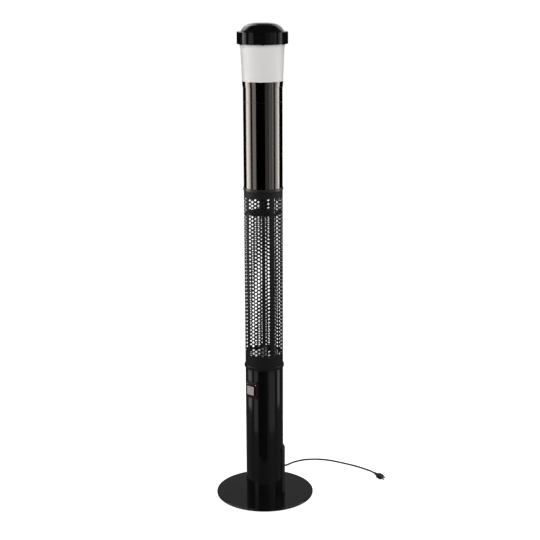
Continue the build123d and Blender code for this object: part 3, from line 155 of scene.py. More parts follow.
# finishes
finishLooks = {
    "columnGloss": {
        "colour": (0.122, 0.113, 0.103), "wornColour": (0.14, 0.13, 0.12), "wear": 0.5,
        "wearScale": 6.0, "roughness": (0.07, 0.12), "glossScale": 14.0, "grain": 0.05,
        "grainScale": 900.0, "metallic": 1.0, "stretch": (1.0, 1.0, 0.12),
    },
    "baseGloss": {
        "colour": (0.004, 0.004, 0.0045), "wornColour": (0.013, 0.013, 0.013), "wear": 0.35,
        "wearScale": 60.0, "roughness": (0.05, 0.11), "glossScale": 18.0, "grain": 0.04,
        "grainScale": 500.0,
    },
    "guardMatte": {
        "colour": (0.0095, 0.0095, 0.01), "wornColour": (0.017, 0.017, 0.017), "wear": 0.5,
        "wearScale": 120.0, "roughness": (0.5, 0.64), "glossScale": 60.0, "grain": 0.35,
        "grainScale": 2600.0, "specular": 0.1,
    },
    "lowerGloss": {
        "colour": (0.003, 0.003, 0.003), "wornColour": (0.006, 0.006, 0.006), "wear": 0.4,
        "wearScale": 6.0, "roughness": (0.07, 0.12), "glossScale": 14.0, "grain": 0.05,
        "grainScale": 900.0, "specular": 0.5, "stretch": (1.0, 1.0, 0.12),
    },
    "ringSatin": {
        "colour": (0.01, 0.01, 0.0105), "wornColour": (0.02, 0.02, 0.02), "wear": 0.5,
        "wearScale": 90.0, "roughness": (0.28, 0.36), "glossScale": 60.0, "grain": 0.2,
        "grainScale": 2200.0, "specular": 0.4,
    },
    "ringMatte": {
        "colour": (0.008, 0.008, 0.0085), "wornColour": (0.016, 0.016, 0.016), "wear": 0.5,
        "wearScale": 90.0, "roughness": (0.3, 0.38), "glossScale": 60.0, "grain": 0.2,
        "grainScale": 2200.0, "specular": 0.09,
    },
    "capGloss": {
        "colour": (0.003, 0.003, 0.003), "wornColour": (0.008, 0.008, 0.008), "wear": 0.4,
        "wearScale": 80.0, "roughness": (0.07, 0.14), "glossScale": 30.0, "grain": 0.04,
        "grainScale": 700.0, "specular": 0.22,
    },
    "lensFrost": {
        "colour": (0.715, 0.705, 0.69), "wornColour": (0.68, 0.66, 0.63), "wear": 0.4,
        "wearScale": 12.0, "roughness": (0.38, 0.5), "glossScale": 40.0, "grain": 0.12,
        "grainScale": 3000.0,
    },
    "satinPlastic": {
        "colour": (0.02, 0.02, 0.02), "wornColour": (0.04, 0.04, 0.04), "wear": 0.4, "wearScale": 150.0,
        "roughness": (0.38, 0.5), "glossScale": 80.0, "grain": 0.4, "grainScale": 3500.0,
    },
    # the bezel's own dark red gloss; the splash cover also wears it on its window's walls as painted
    # shade
    "bezelGloss": {
        "colour": (0.014, 0.005, 0.006), "wornColour": (0.022, 0.01, 0.011), "wear": 0.3,
        "wearScale": 150.0, "roughness": (0.12, 0.2), "glossScale": 80.0, "grain": 0.06,
        "grainScale": 2500.0, "specular": 0.22,
    },
    "rockerRed": {
        "colour": (0.42, 0.02, 0.022), "wornColour": (0.3, 0.02, 0.02), "wear": 0.3, "wearScale": 200.0,
        "roughness": (0.18, 0.28), "glossScale": 120.0, "grain": 0.1, "grainScale": 2500.0,
    },
    "zinc": {
        "colour": (0.55, 0.55, 0.56), "wornColour": (0.42, 0.42, 0.42), "wear": 0.8, "wearScale": 90.0,
        "roughness": (0.25, 0.42), "glossScale": 60.0, "grain": 0.15, "grainScale": 1500.0,
        "metallic": 1.0,
    },
    "darkSteel": {
        "colour": (0.05, 0.05, 0.05), "wornColour": (0.12, 0.12, 0.12), "wear": 0.6, "wearScale": 300.0,
        "roughness": (0.3, 0.45), "glossScale": 100.0, "grain": 0.15, "grainScale": 2500.0,
        "metallic": 1.0,
    },
    "brightSteel": {
        "colour": (0.62, 0.62, 0.62), "wornColour": (0.5, 0.49, 0.48), "wear": 0.7, "wearScale": 40.0,
        "roughness": (0.02, 0.05), "glossScale": 30.0, "grain": 0.02, "grainScale": 1200.0,
        "metallic": 1.0,
    },
    "sootBlack": {
        "colour": (0.028, 0.028, 0.028), "wornColour": (0.04, 0.038, 0.036), "wear": 0.6,
        "wearScale": 60.0, "roughness": (0.7, 0.85), "glossScale": 80.0, "grain": 0.3,
        "grainScale": 1800.0, "specular": 0.02,
    },
    "ceramic": {
        "colour": (0.36, 0.34, 0.31), "wornColour": (0.28, 0.26, 0.23), "wear": 0.6, "wearScale": 180.0,
        "roughness": (0.5, 0.7), "glossScale": 90.0, "grain": 0.3, "grainScale": 2000.0,
    },
    "quartz": {
        "colour": (0.06, 0.03, 0.034), "wornColour": (0.05, 0.028, 0.03), "wear": 0.3,
        "wearScale": 60.0, "roughness": (0.05, 0.1), "glossScale": 60.0, "grain": 0.03,
        "grainScale": 900.0, "transmission": 0.3, "ior": 1.46,
    },
    "carbon": {
        "colour": (0.03, 0.03, 0.03), "wornColour": (0.06, 0.055, 0.05), "wear": 0.6,
        "wearScale": 400.0, "roughness": (0.5, 0.7), "glossScale": 200.0, "grain": 0.5,
        "grainScale": 2500.0,
    },
    "brass": {
        "colour": (0.68, 0.5, 0.22), "wornColour": (0.5, 0.35, 0.16), "wear": 0.6, "wearScale": 200.0,
        "roughness": (0.2, 0.35), "glossScale": 120.0, "grain": 0.1, "grainScale": 2000.0,
        "metallic": 1.0,
    },
    "aluminium": {
        "colour": (0.7, 0.7, 0.71), "wornColour": (0.6, 0.6, 0.6), "wear": 0.5, "wearScale": 100.0,
        "roughness": (0.25, 0.4), "glossScale": 80.0, "grain": 0.1, "grainScale": 1500.0,
        "metallic": 1.0,
    },
    "boardWhite": {
        "colour": (0.78, 0.78, 0.75), "wornColour": (0.7, 0.68, 0.6), "wear": 0.4, "wearScale": 300.0,
        "roughness": (0.3, 0.4), "glossScale": 120.0, "grain": 0.1, "grainScale": 2500.0,
    },
    "rubberBlack": {
        "colour": (0.012, 0.012, 0.012), "wornColour": (0.03, 0.03, 0.03), "wear": 0.5,
        "wearScale": 150.0, "roughness": (0.55, 0.72), "glossScale": 120.0, "grain": 0.3,
        "grainScale": 2500.0,
    },
    "cordBlack": {
        "colour": (0.004, 0.004, 0.004), "wornColour": (0.01, 0.01, 0.01), "wear": 0.4,
        "wearScale": 90.0, "roughness": (0.5, 0.62), "glossScale": 90.0, "grain": 0.15,
        "grainScale": 2200.0, "specular": 0.06,
    },
    "wireSleeve": {
        "colour": (0.42, 0.42, 0.4), "wornColour": (0.3, 0.3, 0.28), "wear": 0.5, "wearScale": 200.0,
        "roughness": (0.5, 0.65), "glossScale": 120.0, "grain": 0.2, "grainScale": 2500.0,
    },
    "markWhite": {
        "colour": (0.7, 0.7, 0.68), "wornColour": (0.5, 0.48, 0.46), "wear": 0.4, "wearScale": 600.0,
        "roughness": (0.3, 0.45), "glossScale": 300.0, "grain": 0.05, "grainScale": 2500.0,
    },
    "clearFlap": {
        "colour": (0.9, 0.83, 0.84), "wornColour": (0.84, 0.79, 0.8), "wear": 0.3, "wearScale": 120.0,
        "roughness": (0.08, 0.13), "glossScale": 90.0, "grain": 0.01, "grainScale": 600.0,
        "transmission": 0.6, "ior": 1.5,
    },
}
finishes = {name: coatedFinish(name, look) for name, look in finishLooks.items()}

nodeFinishes = {
    "columnGloss": ["upper_column", "head_tube", "lamp_cup"],
    "lowerGloss": ["lower_column"],
    "baseGloss": ["base_plate"],
    "guardMatte": ["guard_sleeve"],
    "ringMatte": ["guard_bottom_ring"],
    "ringSatin": ["guard_top_ring"],
    "capGloss": ["cap_collar", "cap_dome", "cap_plate"],
    "lensFrost": ["diffuser_lens"],
    "satinPlastic": [
        "terminal_cover", "switch_housing", "cable_gland", "terminal_block",
        "tip_switch_box", "tip_switch_plate", "lamp_driver",
    ],
    "bezelGloss": ["switch_bezel"],
    "rockerRed": ["switch_rocker"],
    "clearFlap": ["splash_flap"],
    "zinc": [
        "foot_screws", "chassis_plate", "chassis_screws", "tie_rods", "lead_conduit", "rod_nuts",
        "lower_bulkhead", "upper_bulkhead", "column_foot", "joint_sleeve", "tip_pin", "switch_pins",
        "tip_pendulum",
    ],
    "darkSteel": ["cover_screws", "joint_screws", "cap_screws"],
    "sootBlack": ["vent_sleeve"],
    "ceramic": ["element_holders"],
    "quartz": ["quartz_tube"],
    "carbon": ["carbon_strand"],
    "brass": ["switch_blades", "plug_pins"],
    "aluminium": ["lamp_core"],
    "boardWhite": ["light_boards"],
    "rubberBlack": [
        "base_pads", "switch_gasket", "strain_relief", "lead_grommet", "plug_body", "supply_lead",
    ],
    "wireSleeve": ["heater_lead", "lamp_lead", "switch_lead"],
}
for finish, names in nodeFinishes.items():
    for name in names:
        slots = nodes[name].data.materials
        slots.clear()
        slots.append(finishes[finish])
print("finishes made:", len(finishes))


# modelling helpers
def applyModifier(piece, kind, **settings):
    bpy.ops.object.modifier_add(type=kind)
    modifier = piece.modifiers[-1]
    for key, value in settings.items():
        setattr(modifier, key, value)
    bpy.ops.object.modifier_apply(modifier=modifier.name)


def pickVertices(piece, test):
    # in edit mode: selects the vertices that pass the test, and what lies between them
    mesh = bmesh.from_edit_mesh(piece.data)
    for element in [*mesh.faces, *mesh.edges, *mesh.verts]:
        element.select = False
    for vertex in mesh.verts:
        vertex.select = test(vertex.co)
    mesh.select_flush(True)
    bmesh.update_edit_mesh(piece.data)


def applyPlace():
    bpy.ops.object.transform_apply(location=True, rotation=True, scale=True)


def finishPiece(piece, finish, body, slot, *replaced, angle=35):
    selectOnly(piece)
    bpy.ops.object.shade_smooth_by_angle(angle=math.radians(angle))
    if finish:
        piece.data.materials.clear()
        piece.data.materials.append(finishes[finish])
    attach(piece, body)
    if replaced:
        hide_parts(*replaced)
    return piece


def joinPieces(pieces, name):
    clearSelection()
    for piece in pieces:
        piece.select_set(True)
    bpy.context.view_layer.objects.active = pieces[0]
    if len(pieces) > 1:
        bpy.ops.object.join()
    pieces[0].name = name
    applyPlace()
    return pieces[0]


def copyPiece(piece):
    copy = piece.copy()
    copy.data = piece.data.copy()
    scene.collection.objects.link(copy)
    return copy


def cutAway(piece, cutters):
    # takes the cutters' shapes out of a piece
    for cutter in cutters:
        selectOnly(piece)
        applyModifier(piece, "BOOLEAN", object=cutter, operation="DIFFERENCE", solver="EXACT")
        bpy.data.objects.remove(cutter)


sharpAngle = math.radians(30)


def turnedPiece(name, profile, sides, bevel=0.0, closed=True):
    # a circle drawn on from ring to ring of a half section, given as (radius, height)
    clearSelection()
    (radius, height), *rest = profile
    bpy.ops.mesh.primitive_circle_add(vertices=sides, radius=radius, location=(0, 0, height))
    piece = bpy.context.object
    piece.name = name
    applyPlace()
    bpy.ops.object.mode_set(mode="EDIT")
    bpy.ops.mesh.select_mode(type="EDGE")
    bpy.ops.mesh.select_all(action="SELECT")
    for nextRadius, nextHeight in rest:
        bpy.ops.mesh.extrude_edges_move(TRANSFORM_OT_translate={"value": (0, 0, nextHeight - height)})
        growth = nextRadius / radius
        bpy.ops.transform.resize(value=(growth, growth, 1), center_override=(0, 0, nextHeight))
        radius, height = nextRadius, nextHeight
    bpy.ops.mesh.select_all(action="DESELECT")
    bpy.ops.mesh.select_non_manifold()
    if closed:
        bpy.ops.mesh.bridge_edge_loops()
    else:
        bpy.ops.mesh.edge_face_add()
    bpy.ops.mesh.select_all(action="SELECT")
    bpy.ops.mesh.normals_make_consistent(inside=False)
    bpy.ops.object.mode_set(mode="OBJECT")
    if bevel:
        applyModifier(
            piece, "BEVEL", width=bevel, segments=3, limit_method="ANGLE", angle_limit=sharpAngle,
        )
    return piece


def blockPiece(name, size, place, bevel, segments=3):
    clearSelection()
    bpy.ops.mesh.primitive_cube_add(size=1.0, location=place)
    piece = bpy.context.object
    piece.name = name
    piece.scale = size
    applyPlace()
    if bevel:
        applyModifier(piece, "BEVEL", width=bevel, segments=segments, limit_method="ANGLE")
    return piece


def facingOut(bearing, radius, height):
    # the plane of the column's surface at a bearing: x along the tangent, y up and z outwards
    angle = math.radians(bearing)
    outward = Vector((math.cos(angle), math.sin(angle), 0))
    across = Vector((-math.sin(angle), math.cos(angle), 0))
    turn = Matrix((across, Vector((0, 0, 1)), outward)).transposed().to_4x4()
    return Matrix.Translation(outward * radius + Vector((0, 0, height))) @ turn


def setOn(piece, plane):
    piece.matrix_world = plane @ piece.matrix_world
    selectOnly(piece)
    applyPlace()


# the upper tubes with broken edges that show the seam, and the base plate with a rounded rim
flatShading = 12  # in degrees, so that a wall stays flat beside its bevel
tubeSetup = {
    "radius": 0.084, "wall": 0.0015, "edge": 0.0007, "sides": 144,
    "tubes": {
        "upperColumn": (1.422, 1.789, "upper_column"),
        "headTube": (1.789, 1.851, "head_tube"),
    },
}
for name, (bottom, top, node) in tubeSetup["tubes"].items():
    outer, inner = tubeSetup["radius"], tubeSetup["radius"] - tubeSetup["wall"]
    tube = turnedPiece(
        name,
        [(inner, bottom), (outer, bottom), (outer, top), (inner, top)],
        sides=tubeSetup["sides"], bevel=tubeSetup["edge"],
    )
    finishPiece(tube, "columnGloss", "tower", "column_gloss", node, angle=flatShading)

baseSetup = {
    "radius": 0.2199, "bottom": 0.003, "top": 0.011, "rimRound": 0.002, "pole": 0.0001, "sides": 240,
}
basePlate = turnedPiece(
    "basePlate",
    [
        (baseSetup["pole"], baseSetup["top"]), (baseSetup["radius"], baseSetup["top"]),
        (baseSetup["radius"], baseSetup["bottom"]), (baseSetup["pole"], baseSetup["bottom"]),
    ],
    sides=baseSetup["sides"], bevel=baseSetup["rimRound"], closed=False,
)
finishPiece(basePlate, "baseGloss", "tower", "base_gloss", "base_plate", angle=flatShading)
print("tubes and base turned")


# heat shields: dishes with rolled edges, the lower one bright and the upper one black with soot
shieldSetup = {
    "radius": 0.08, "thickness": 0.0015, "bore": 0.0042, "bevel": 0.0005, "sides": 96,
    # the height of the dish's top, the depth of its skirt and its finish
    "dishes": {"lowerShield": (0.671, 0.012, "brightSteel"), "upperShield": (1.31, 0.004, "sootBlack")},
}


def makeShields():
    dishes = []
    wide, thin, bore = shieldSetup["radius"], shieldSetup["thickness"], shieldSetup["bore"]
    for name, (top, skirt, finish) in shieldSetup["dishes"].items():
        dish = turnedPiece(
            name,
            [
                (bore, top - thin), (wide - thin, top - thin), (wide - thin, top - skirt),
                (wide, top - skirt), (wide, top), (bore, top),
            ],
            sides=shieldSetup["sides"], bevel=shieldSetup["bevel"],
        )
        dish.data.materials.append(finishes[finish])
        dishes.append(dish)
    shields = joinPieces(dishes, "heatShields")
    finishPiece(shields, None, "tower", "bright_steel", "heat_shields", angle=flatShading)


makeShields()
print("heat shields made")


# screws with a cross recess
screwShape = {
    # the rings of the dome and the sizes of the slots are shares of the head's radius and height
    "dome": [(0.45, 0.985), (0.8, 0.86), (0.97, 0.58), (1.0, 0.3), (1.0, 0.0)],
    "pole": 0.0001, "sides": 32, "slots": ((0.26, 1.15), (1.15, 0.26)), "slotHeight": 1.02,
    "firstTurn": 25, "turnStep": 47,
}


def crossScrew(name, headRadius, headHeight, shaftRadius, shaftLength):
    pole = screwShape["pole"]
    dome = [(headRadius * wide, headHeight * high) for wide, high in screwShape["dome"]]
    shaft = [(shaftRadius, 0.0), (shaftRadius, -shaftLength), (pole, -shaftLength)]
    profile = [(pole, headHeight), *dome, *shaft]
    head = turnedPiece(name, profile, sides=screwShape["sides"], closed=False)
    slots = []
    for width, length in screwShape["slots"]:
        size = (headRadius * width, headRadius * length, headHeight)
        slots.append(blockPiece("slot", size, (0, 0, headHeight * screwShape["slotHeight"]), 0))
    cutAway(head, slots)
    return head


screwSets = {
    "coverScrews": {
        "head": (0.00375, 0.0024), "shaft": (0.0019, 0.008), "radius": 0.0904, "node": "cover_screws",
        "bearings": (-18.5, 106.5), "heights": (0.0573, 0.1293, 0.2013),
    },
    "jointScrews": {
        "head": (0.0036, 0.0016), "shaft": (0.0019, 0.0045), "radius": 0.084, "node": "joint_screws",
        "bearings": (60.0, 120.0), "heights": (1.776, 1.802),
    },
}
for name, screwSet in screwSets.items():
    pattern = crossScrew(name + "Pattern", *screwSet["head"], *screwSet["shaft"])
    screws = []
    places = [(bearing, height) for bearing in screwSet["bearings"] for height in screwSet["heights"]]
    for count, (bearing, height) in enumerate(places):
        screw = copyPiece(pattern)
        # no two recesses stand alike
        screw.rotation_euler.z = math.radians(screwShape["firstTurn"] + screwShape["turnStep"] * count)
        selectOnly(screw)
        applyPlace()
        setOn(screw, facingOut(bearing, screwSet["radius"], height))
        screws.append(screw)
    bpy.data.objects.remove(pattern)
    finishPiece(joinPieces(screws, name), "darkSteel", "tower", "dark_steel", screwSet["node"])
print("screws made:", len(screwSets), "sets")


# strain relief: a tapered sleeve with grooves that let it bend
reliefSetup = {
    "bearing": 80.0, "height": 0.062, "start": 0.1103, "length": 0.036, "sides": 40,
    "rootRadius": 0.007, "tipRadius": 0.0052, "bore": 0.0041, "grooves": 8, "grooveDepth": 0.0011,
    # shares of the length
    "collar": 0.18, "groovesEnd": 0.92, "tipStart": 0.94,
    # shares of the collar, of the space between two grooves and of the tip's radius
    "rootEnd": 0.85, "grooveWidth": 0.32, "ribStart": 0.46, "ribEnd": 0.9, "tipEdge": 0.93,
}


def makeRelief():
    length, grooves = reliefSetup["length"], reliefSetup["grooves"]
    root, tip, bore = reliefSetup["rootRadius"], reliefSetup["tipRadius"], reliefSetup["bore"]
    collar = reliefSetup["collar"] * length
    step = (length * reliefSetup["groovesEnd"] - collar) / grooves
    profile = [(root, 0.0), (root, collar * reliefSetup["rootEnd"])]
    for groove in range(grooves):
        low = collar + groove * step
        outer = root + (tip - root) * low / length
        inner = outer - reliefSetup["grooveDepth"]
        profile += [
            (inner, low), (inner, low + reliefSetup["grooveWidth"] * step),
            (outer, low + reliefSetup["ribStart"] * step), (outer, low + reliefSetup["ribEnd"] * step),
        ]
    profile += [
        (tip, length * reliefSetup["tipStart"]), (tip * reliefSetup["tipEdge"], length),
        (bore, length), (bore, 0.0),
    ]
    relief = turnedPiece("strainRelief", profile, sides=reliefSetup["sides"])
    setOn(relief, facingOut(reliefSetup["bearing"], reliefSetup["start"], reliefSetup["height"]))
    return finishPiece(relief, "rubberBlack", "tower", "rubber", "strain_relief")


strainRelief = makeRelief()


# mains plug: a rounded body with grip ribs, narrowing to its neck
plugSetup = {
    "place": (0.523, 0.172, 0.0105), "heading": (12.0, -20.0),
    "length": 0.034, "width": 0.027, "height": 0.021,
    "rounding": 0.0055, "roundSteps": 5,
    "gripStart": 0.3, "gripTall": 0.62,  # shares of the length and of the height
    "grips": 5, "gripPitch": 0.0042, "gripWidth": 0.0019, "gripDepth": 0.0016, "gripBevel": 0.0005,
    "neckLength": 0.022, "neckRadii": (0.006, 0.008), "bore": 0.0042, "sides": 36,
    # shares of the neck's radius, with distances along it
    "mouth": (0.8, 0.0012), "shoulder": (1.05, 0.002, 0.003), "ringDepth": 0.84,
    "rings": 4, "firstRing": 0.004, "ringPitch": 0.0036, "ringSteps": (0.0006, 0.0018, 0.0024),
    "shading": 32,
}


def plugNeck():
    # a collar of rings, from the mouth where the cord comes in to the shoulder inside the body
    neck, bore = plugSetup["neckLength"], plugSetup["bore"]
    startRadius, endRadius = plugSetup["neckRadii"]
    mouthShare, mouthEnd = plugSetup["mouth"]
    shoulderShare, shoulderBefore, shoulderAfter = plugSetup["shoulder"]
    fall, foot, rise = plugSetup["ringSteps"]
    profile = [(startRadius * mouthShare, 0.0), (startRadius, mouthEnd)]
    for ring in range(plugSetup["rings"]):
        low = plugSetup["firstRing"] + ring * plugSetup["ringPitch"]
        radius = startRadius + (endRadius - startRadius) * low / neck
        inner = radius * plugSetup["ringDepth"]
        profile += [(radius, low), (inner, low + fall), (inner, low + foot), (radius, low + rise)]
    profile += [
        (endRadius, neck - shoulderBefore), (endRadius * shoulderShare, neck + shoulderAfter),
        (bore, neck + shoulderAfter), (bore, 0.0),
    ]
    return turnedPiece("plugNeck", profile, sides=plugSetup["sides"])


def makePlug():
    length, width, height = plugSetup["length"], plugSetup["width"], plugSetup["height"]
    neck = plugSetup["neckLength"]
    body = blockPiece(
        "plugBody", (length, width, height), (neck + length / 2, 0, 0), plugSetup["rounding"],
        segments=plugSetup["roundSteps"],
    )
    gripSize = (plugSetup["gripWidth"], plugSetup["gripDepth"], height * plugSetup["gripTall"])
    grips = []
    for side in (-1, 1):
        for grip in range(plugSetup["grips"]):
            x = neck + length * plugSetup["gripStart"] + grip * plugSetup["gripPitch"]
            grips.append(blockPiece("grip", gripSize, (x, side * width / 2, 0), plugSetup["gripBevel"]))
    cutAway(body, grips)
    collar = plugNeck()
    collar.rotation_euler.y = math.pi / 2
    plug = joinPieces([body, collar], "plugBody")
    plug.rotation_euler.z = math.atan2(plugSetup["heading"][1], plugSetup["heading"][0])
    plug.location = plugSetup["place"]
    selectOnly(plug)
    applyPlace()
    return finishPiece(plug, "rubberBlack", "tower", "rubber", "plug_body", angle=plugSetup["shading"])


plugBody = makePlug()
print("strain relief and plug made")


# mains cord: strain relief, fall to the floor, coil behind the column, run to the plug
cordSetup = {
    "radius": 0.004,
    "roundness": 5,
    "smoothness": 6,
    "order": 3,
    "floorHeight": 0.0041,
    "start": [
        (0.019153, 0.108624, 0.062), (0.025405, 0.144077, 0.062), (0.031656, 0.17953, 0.062),
        (0.0375, 0.214, 0.033), (0.0425, 0.251, 0.0041), (0.046176, 0.288016, 0.0041),
        (0.045224, 0.322003, 0.0041),
    ],
    "coilCentre": (-0.005, 0.33),
    "coilRadius": 0.0508,
    "turnStep": 0.0088,
    "layerRise": 0.0089,
    "quarters": (6, 2, 7),  # quarter turns inwards, then climbing to the upper layer, then outwards
    "pointsPerQuarter": 4,
    "end": [
        (0.0030, 0.2776, 0.013), (0.0290, 0.2769, 0.013), (0.066, 0.272, 0.013), (0.101, 0.284, 0.0041),
        (0.131, 0.321, 0.0041), (0.182, 0.354, 0.0041), (0.246, 0.363, 0.0041), (0.311, 0.350, 0.0041),
        (0.373, 0.316, 0.0041), (0.438, 0.276, 0.0041), (0.482, 0.237, 0.0041),
        (0.507565, 0.197725, 0.0105), (0.523, 0.172, 0.0105),
    ],
}


def coilPoint(quarter):
    # a point of the coil, a number of quarter turns from its start
    inward, climb = cordSetup["quarters"][:2]
    climbed = min(max((quarter - inward) / climb, 0.0), 1.0)
    wound = min(quarter, inward) - max(quarter - inward - climb, 0.0) + climb * (climbed - climbed**2)
    radius = cordSetup["coilRadius"] - cordSetup["turnStep"] / 4 * wound
    height = cordSetup["floorHeight"] + cordSetup["layerRise"] * (3 * climbed**2 - 2 * climbed**3)
    angle = math.radians(90 * quarter)
    centreX, centreY = cordSetup["coilCentre"]
    return (centreX + radius * math.cos(angle), centreY + radius * math.sin(angle), height)


coilSteps = sum(cordSetup["quarters"]) * cordSetup["pointsPerQuarter"]
coilPoints = [coilPoint(step / cordSetup["pointsPerQuarter"]) for step in range(1, coilSteps)]
cordPoints = cordSetup["start"] + coilPoints + cordSetup["end"]

cordData = bpy.data.curves.new("mainsCord", "CURVE")
cordData.dimensions = "3D"
cordData.bevel_depth = cordSetup["radius"]
cordData.bevel_resolution = cordSetup["roundness"]
cordData.resolution_u = cordSetup["smoothness"]
cordData.use_fill_caps = True
cordLine = cordData.splines.new("NURBS")
cordLine.points.add(len(cordPoints) - 1)
for point, place in zip(cordLine.points, cordPoints):
    point.co = (*place, 1.0)
cordLine.order_u = cordSetup["order"]
cordLine.use_endpoint_u = True
cordLine.use_smooth = True
cord = bpy.data.objects.new("mainsCord", cordData)
scene.collection.objects.link(cord)
cordData.materials.append(finishes["cordBlack"])
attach(cord, "tower")
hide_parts("cord_drop", "cord_coil", "cord_run")
print("cord laid:", len(cordPoints), "points")


# switch: a clear hinged cover over the rocker, and the rocker's marks
coverSetup = {
    "bearing": -130.0, "height": 0.5185, "radius": 0.0895,
    "sheet": (0.0415, 0.0505, 0.002), "sheetBevel": 0.0005,
    "window": (0.0395, 0.042, 0.0085), "windowSink": 0.0001, "wall": 0.0016, "draft": 0.97,
    "windowRound": 0.0035, "roundSteps": 5,
    "hingeHeight": 0.027, "knuckleRadius": 0.0024, "pinRadius": 0.00105,
    "knuckleBevel": 0.0003, "knuckleSides": 28,
    "lipWidth": 0.4,  # as a share of the sheet's
    "lipTall": 0.0022, "lipDeep": 0.0032, "lipUp": 0.0014, "lipOut": 0.0006, "lipBevel": 0.0007,
    # faces that point out less than clearFacing get the dark finish, which on the window's walls is
    # painted shade
    "clearFacing": 0.6, "clearFrom": 0.5,  # part of the normal that points out, and share of the rise
    "shading": 30,
}


def windowShell():
    # a hollow box without a back, narrowing outwards and rounded
    width, height, rise = coverSetup["window"]
    sink, draft = coverSetup["windowSink"], coverSetup["draft"]
    clearSelection()
    bpy.ops.mesh.primitive_cube_add(size=1.0, location=(0, 0, rise / 2 - sink))
    shell = bpy.context.object
    shell.scale = (width, height, rise + 2 * sink)
    applyPlace()
    bpy.ops.object.mode_set(mode="EDIT")
    pickVertices(shell, lambda place: place.z > rise / 2)
    bpy.ops.transform.resize(value=(draft, draft, 1), center_override=(0, 0, rise))
    bpy.ops.mesh.select_mode(type="FACE")
    pickVertices(shell, lambda place: place.z < rise / 2)
    bpy.ops.mesh.delete(type="ONLY_FACE")
    bpy.ops.mesh.select_mode(type="VERT")
    bpy.ops.object.mode_set(mode="OBJECT")
    applyModifier(
        shell, "BEVEL", width=coverSetup["windowRound"], segments=coverSetup["roundSteps"],
        limit_method="ANGLE", angle_limit=sharpAngle,
    )
    applyModifier(shell, "SOLIDIFY", thickness=coverSetup["wall"], offset=-1.0)
    return shell


def makeSplashCover():
    # a sheet with the window raised from it, its knuckle and a lip to lift it by
    width, drop, thickness = coverSetup["sheet"]
    windowWidth, windowHeight, rise = coverSetup["window"]
    wall, hinge = coverSetup["wall"], coverSetup["hingeHeight"]
    pinRadius, knuckleRadius = coverSetup["pinRadius"], coverSetup["knuckleRadius"]
    shell = windowShell()
    sheet = blockPiece(
        "sheet", (width, drop, thickness), (0, hinge - drop / 2, -thickness / 2),
        coverSetup["sheetBevel"],
    )
    openingSize = (windowWidth - 2 * wall, windowHeight - 2 * wall, 3 * thickness)
    cutAway(sheet, [blockPiece("opening", openingSize, (0, 0, 0), 0)])
    knuckle = turnedPiece(
        "knuckle",
        [
            (pinRadius, -width / 2), (knuckleRadius, -width / 2),
            (knuckleRadius, width / 2), (pinRadius, width / 2),
        ],
        sides=coverSetup["knuckleSides"], bevel=coverSetup["knuckleBevel"],
    )
    knuckle.rotation_euler.y = math.pi / 2
    knuckle.location.y = hinge
    lip = blockPiece(
        "fingerLip",
        (width * coverSetup["lipWidth"], coverSetup["lipTall"], coverSetup["lipDeep"]),
        (0, hinge - drop + coverSetup["lipUp"], coverSetup["lipOut"]),
        coverSetup["lipBevel"],
    )
    cover = joinPieces([shell, sheet, knuckle, lip], "splashCover")
    cover.data.materials.clear()
    cover.data.materials.append(finishes["clearFlap"])
    # the bezel's dark finish, also laid on the window's walls as painted shade
    cover.data.materials.append(finishes["bezelGloss"])
    for face in cover.data.polygons:
        # the window's face is clear; its walls carry the bezel's dark finish as painted shade, and the
        # sheet round it and the knuckle are dark
        behind = face.center.z < rise * coverSetup["clearFrom"]
        face.material_index = int(face.normal.z < coverSetup["clearFacing"] or behind)
    setOn(cover, facingOut(coverSetup["bearing"], coverSetup["radius"], coverSetup["height"]))
    finishPiece(cover, None, "flap", "clear_flap", "splash_flap", angle=coverSetup["shading"])


markSetup = {
    "radius": 0.0785, "rockerTilt": 9.0, "rockerHalf": 0.0125, "crown": 0.0042, "valley": 0.0016,
    "size": 0.0052, "stroke": 0.0009, "depth": 0.0003, "raised": 0.0001,
    "barBevel": 0.0001, "ringBevel": 0.00008, "ringSides": 32,
}


def makeRockerMarks():
    # a bar for the upper half of the red rocker and a ring for the lower one
    size, stroke, depth = markSetup["size"], markSetup["stroke"], markSetup["depth"]
    half, crown, valley = markSetup["rockerHalf"], markSetup["crown"], markSetup["valley"]
    slope = math.atan2(crown - valley, half)
    bar = blockPiece("onBar", (stroke, size, depth), (0, 0, 0), markSetup["barBevel"])
    inner, outer = size / 2 - stroke, size / 2
    ring = turnedPiece(
        "offRing",
        [(inner, -depth / 2), (outer, -depth / 2), (outer, depth / 2), (inner, depth / 2)],
        sides=markSetup["ringSides"], bevel=markSetup["ringBevel"],
    )
    for mark, side in ((bar, 1), (ring, -1)):
        tilt = Matrix.Rotation(side * slope, 4, "X")
        middle = Matrix.Translation((0, side * half / 2, (crown + valley) / 2 + markSetup["raised"]))
        mark.matrix_world = middle @ tilt
    marks = joinPieces([bar, ring], "rockerMarks")
    marks.rotation_euler.x = -math.radians(markSetup["rockerTilt"])
    selectOnly(marks)
    applyPlace()
    setOn(marks, facingOut(coverSetup["bearing"], markSetup["radius"], coverSetup["height"]))
    finishPiece(marks, "markWhite", "rocker", "rocker_red")


makeSplashCover()
makeRockerMarks()
print("switch dressed")


# perforated guard: a strip of punched cells for each column, set side by side, bent round and thickened
guardSetup = {
    "radius": 0.084,
    "wall": 0.0012,
    "bottom": 0.626,
    "height": 0.783,
    "sides": 36,
    "pitch": 0.0165,
    "holeRadius": 0.0061,
    "firstHole": 0.056,
    "evenHoles": 43,
    "firstBearing": -94.4,
    "blankSides": (3, 31),
    "cellEdges": 4,
    "weld": 1e-5,  # vertices nearer than this count as one
    "shading": 40,
}
cellWidth = 2 * math.pi * guardSetup["radius"] / guardSetup["sides"]
rowStep = guardSetup["pitch"] / guardSetup["cellEdges"]
patternBottom = guardSetup["firstHole"] - guardSetup["pitch"] / 2
patternTop = patternBottom + guardSetup["evenHoles"] * guardSetup["pitch"]
standing = (math.pi / 2, 0, 0)


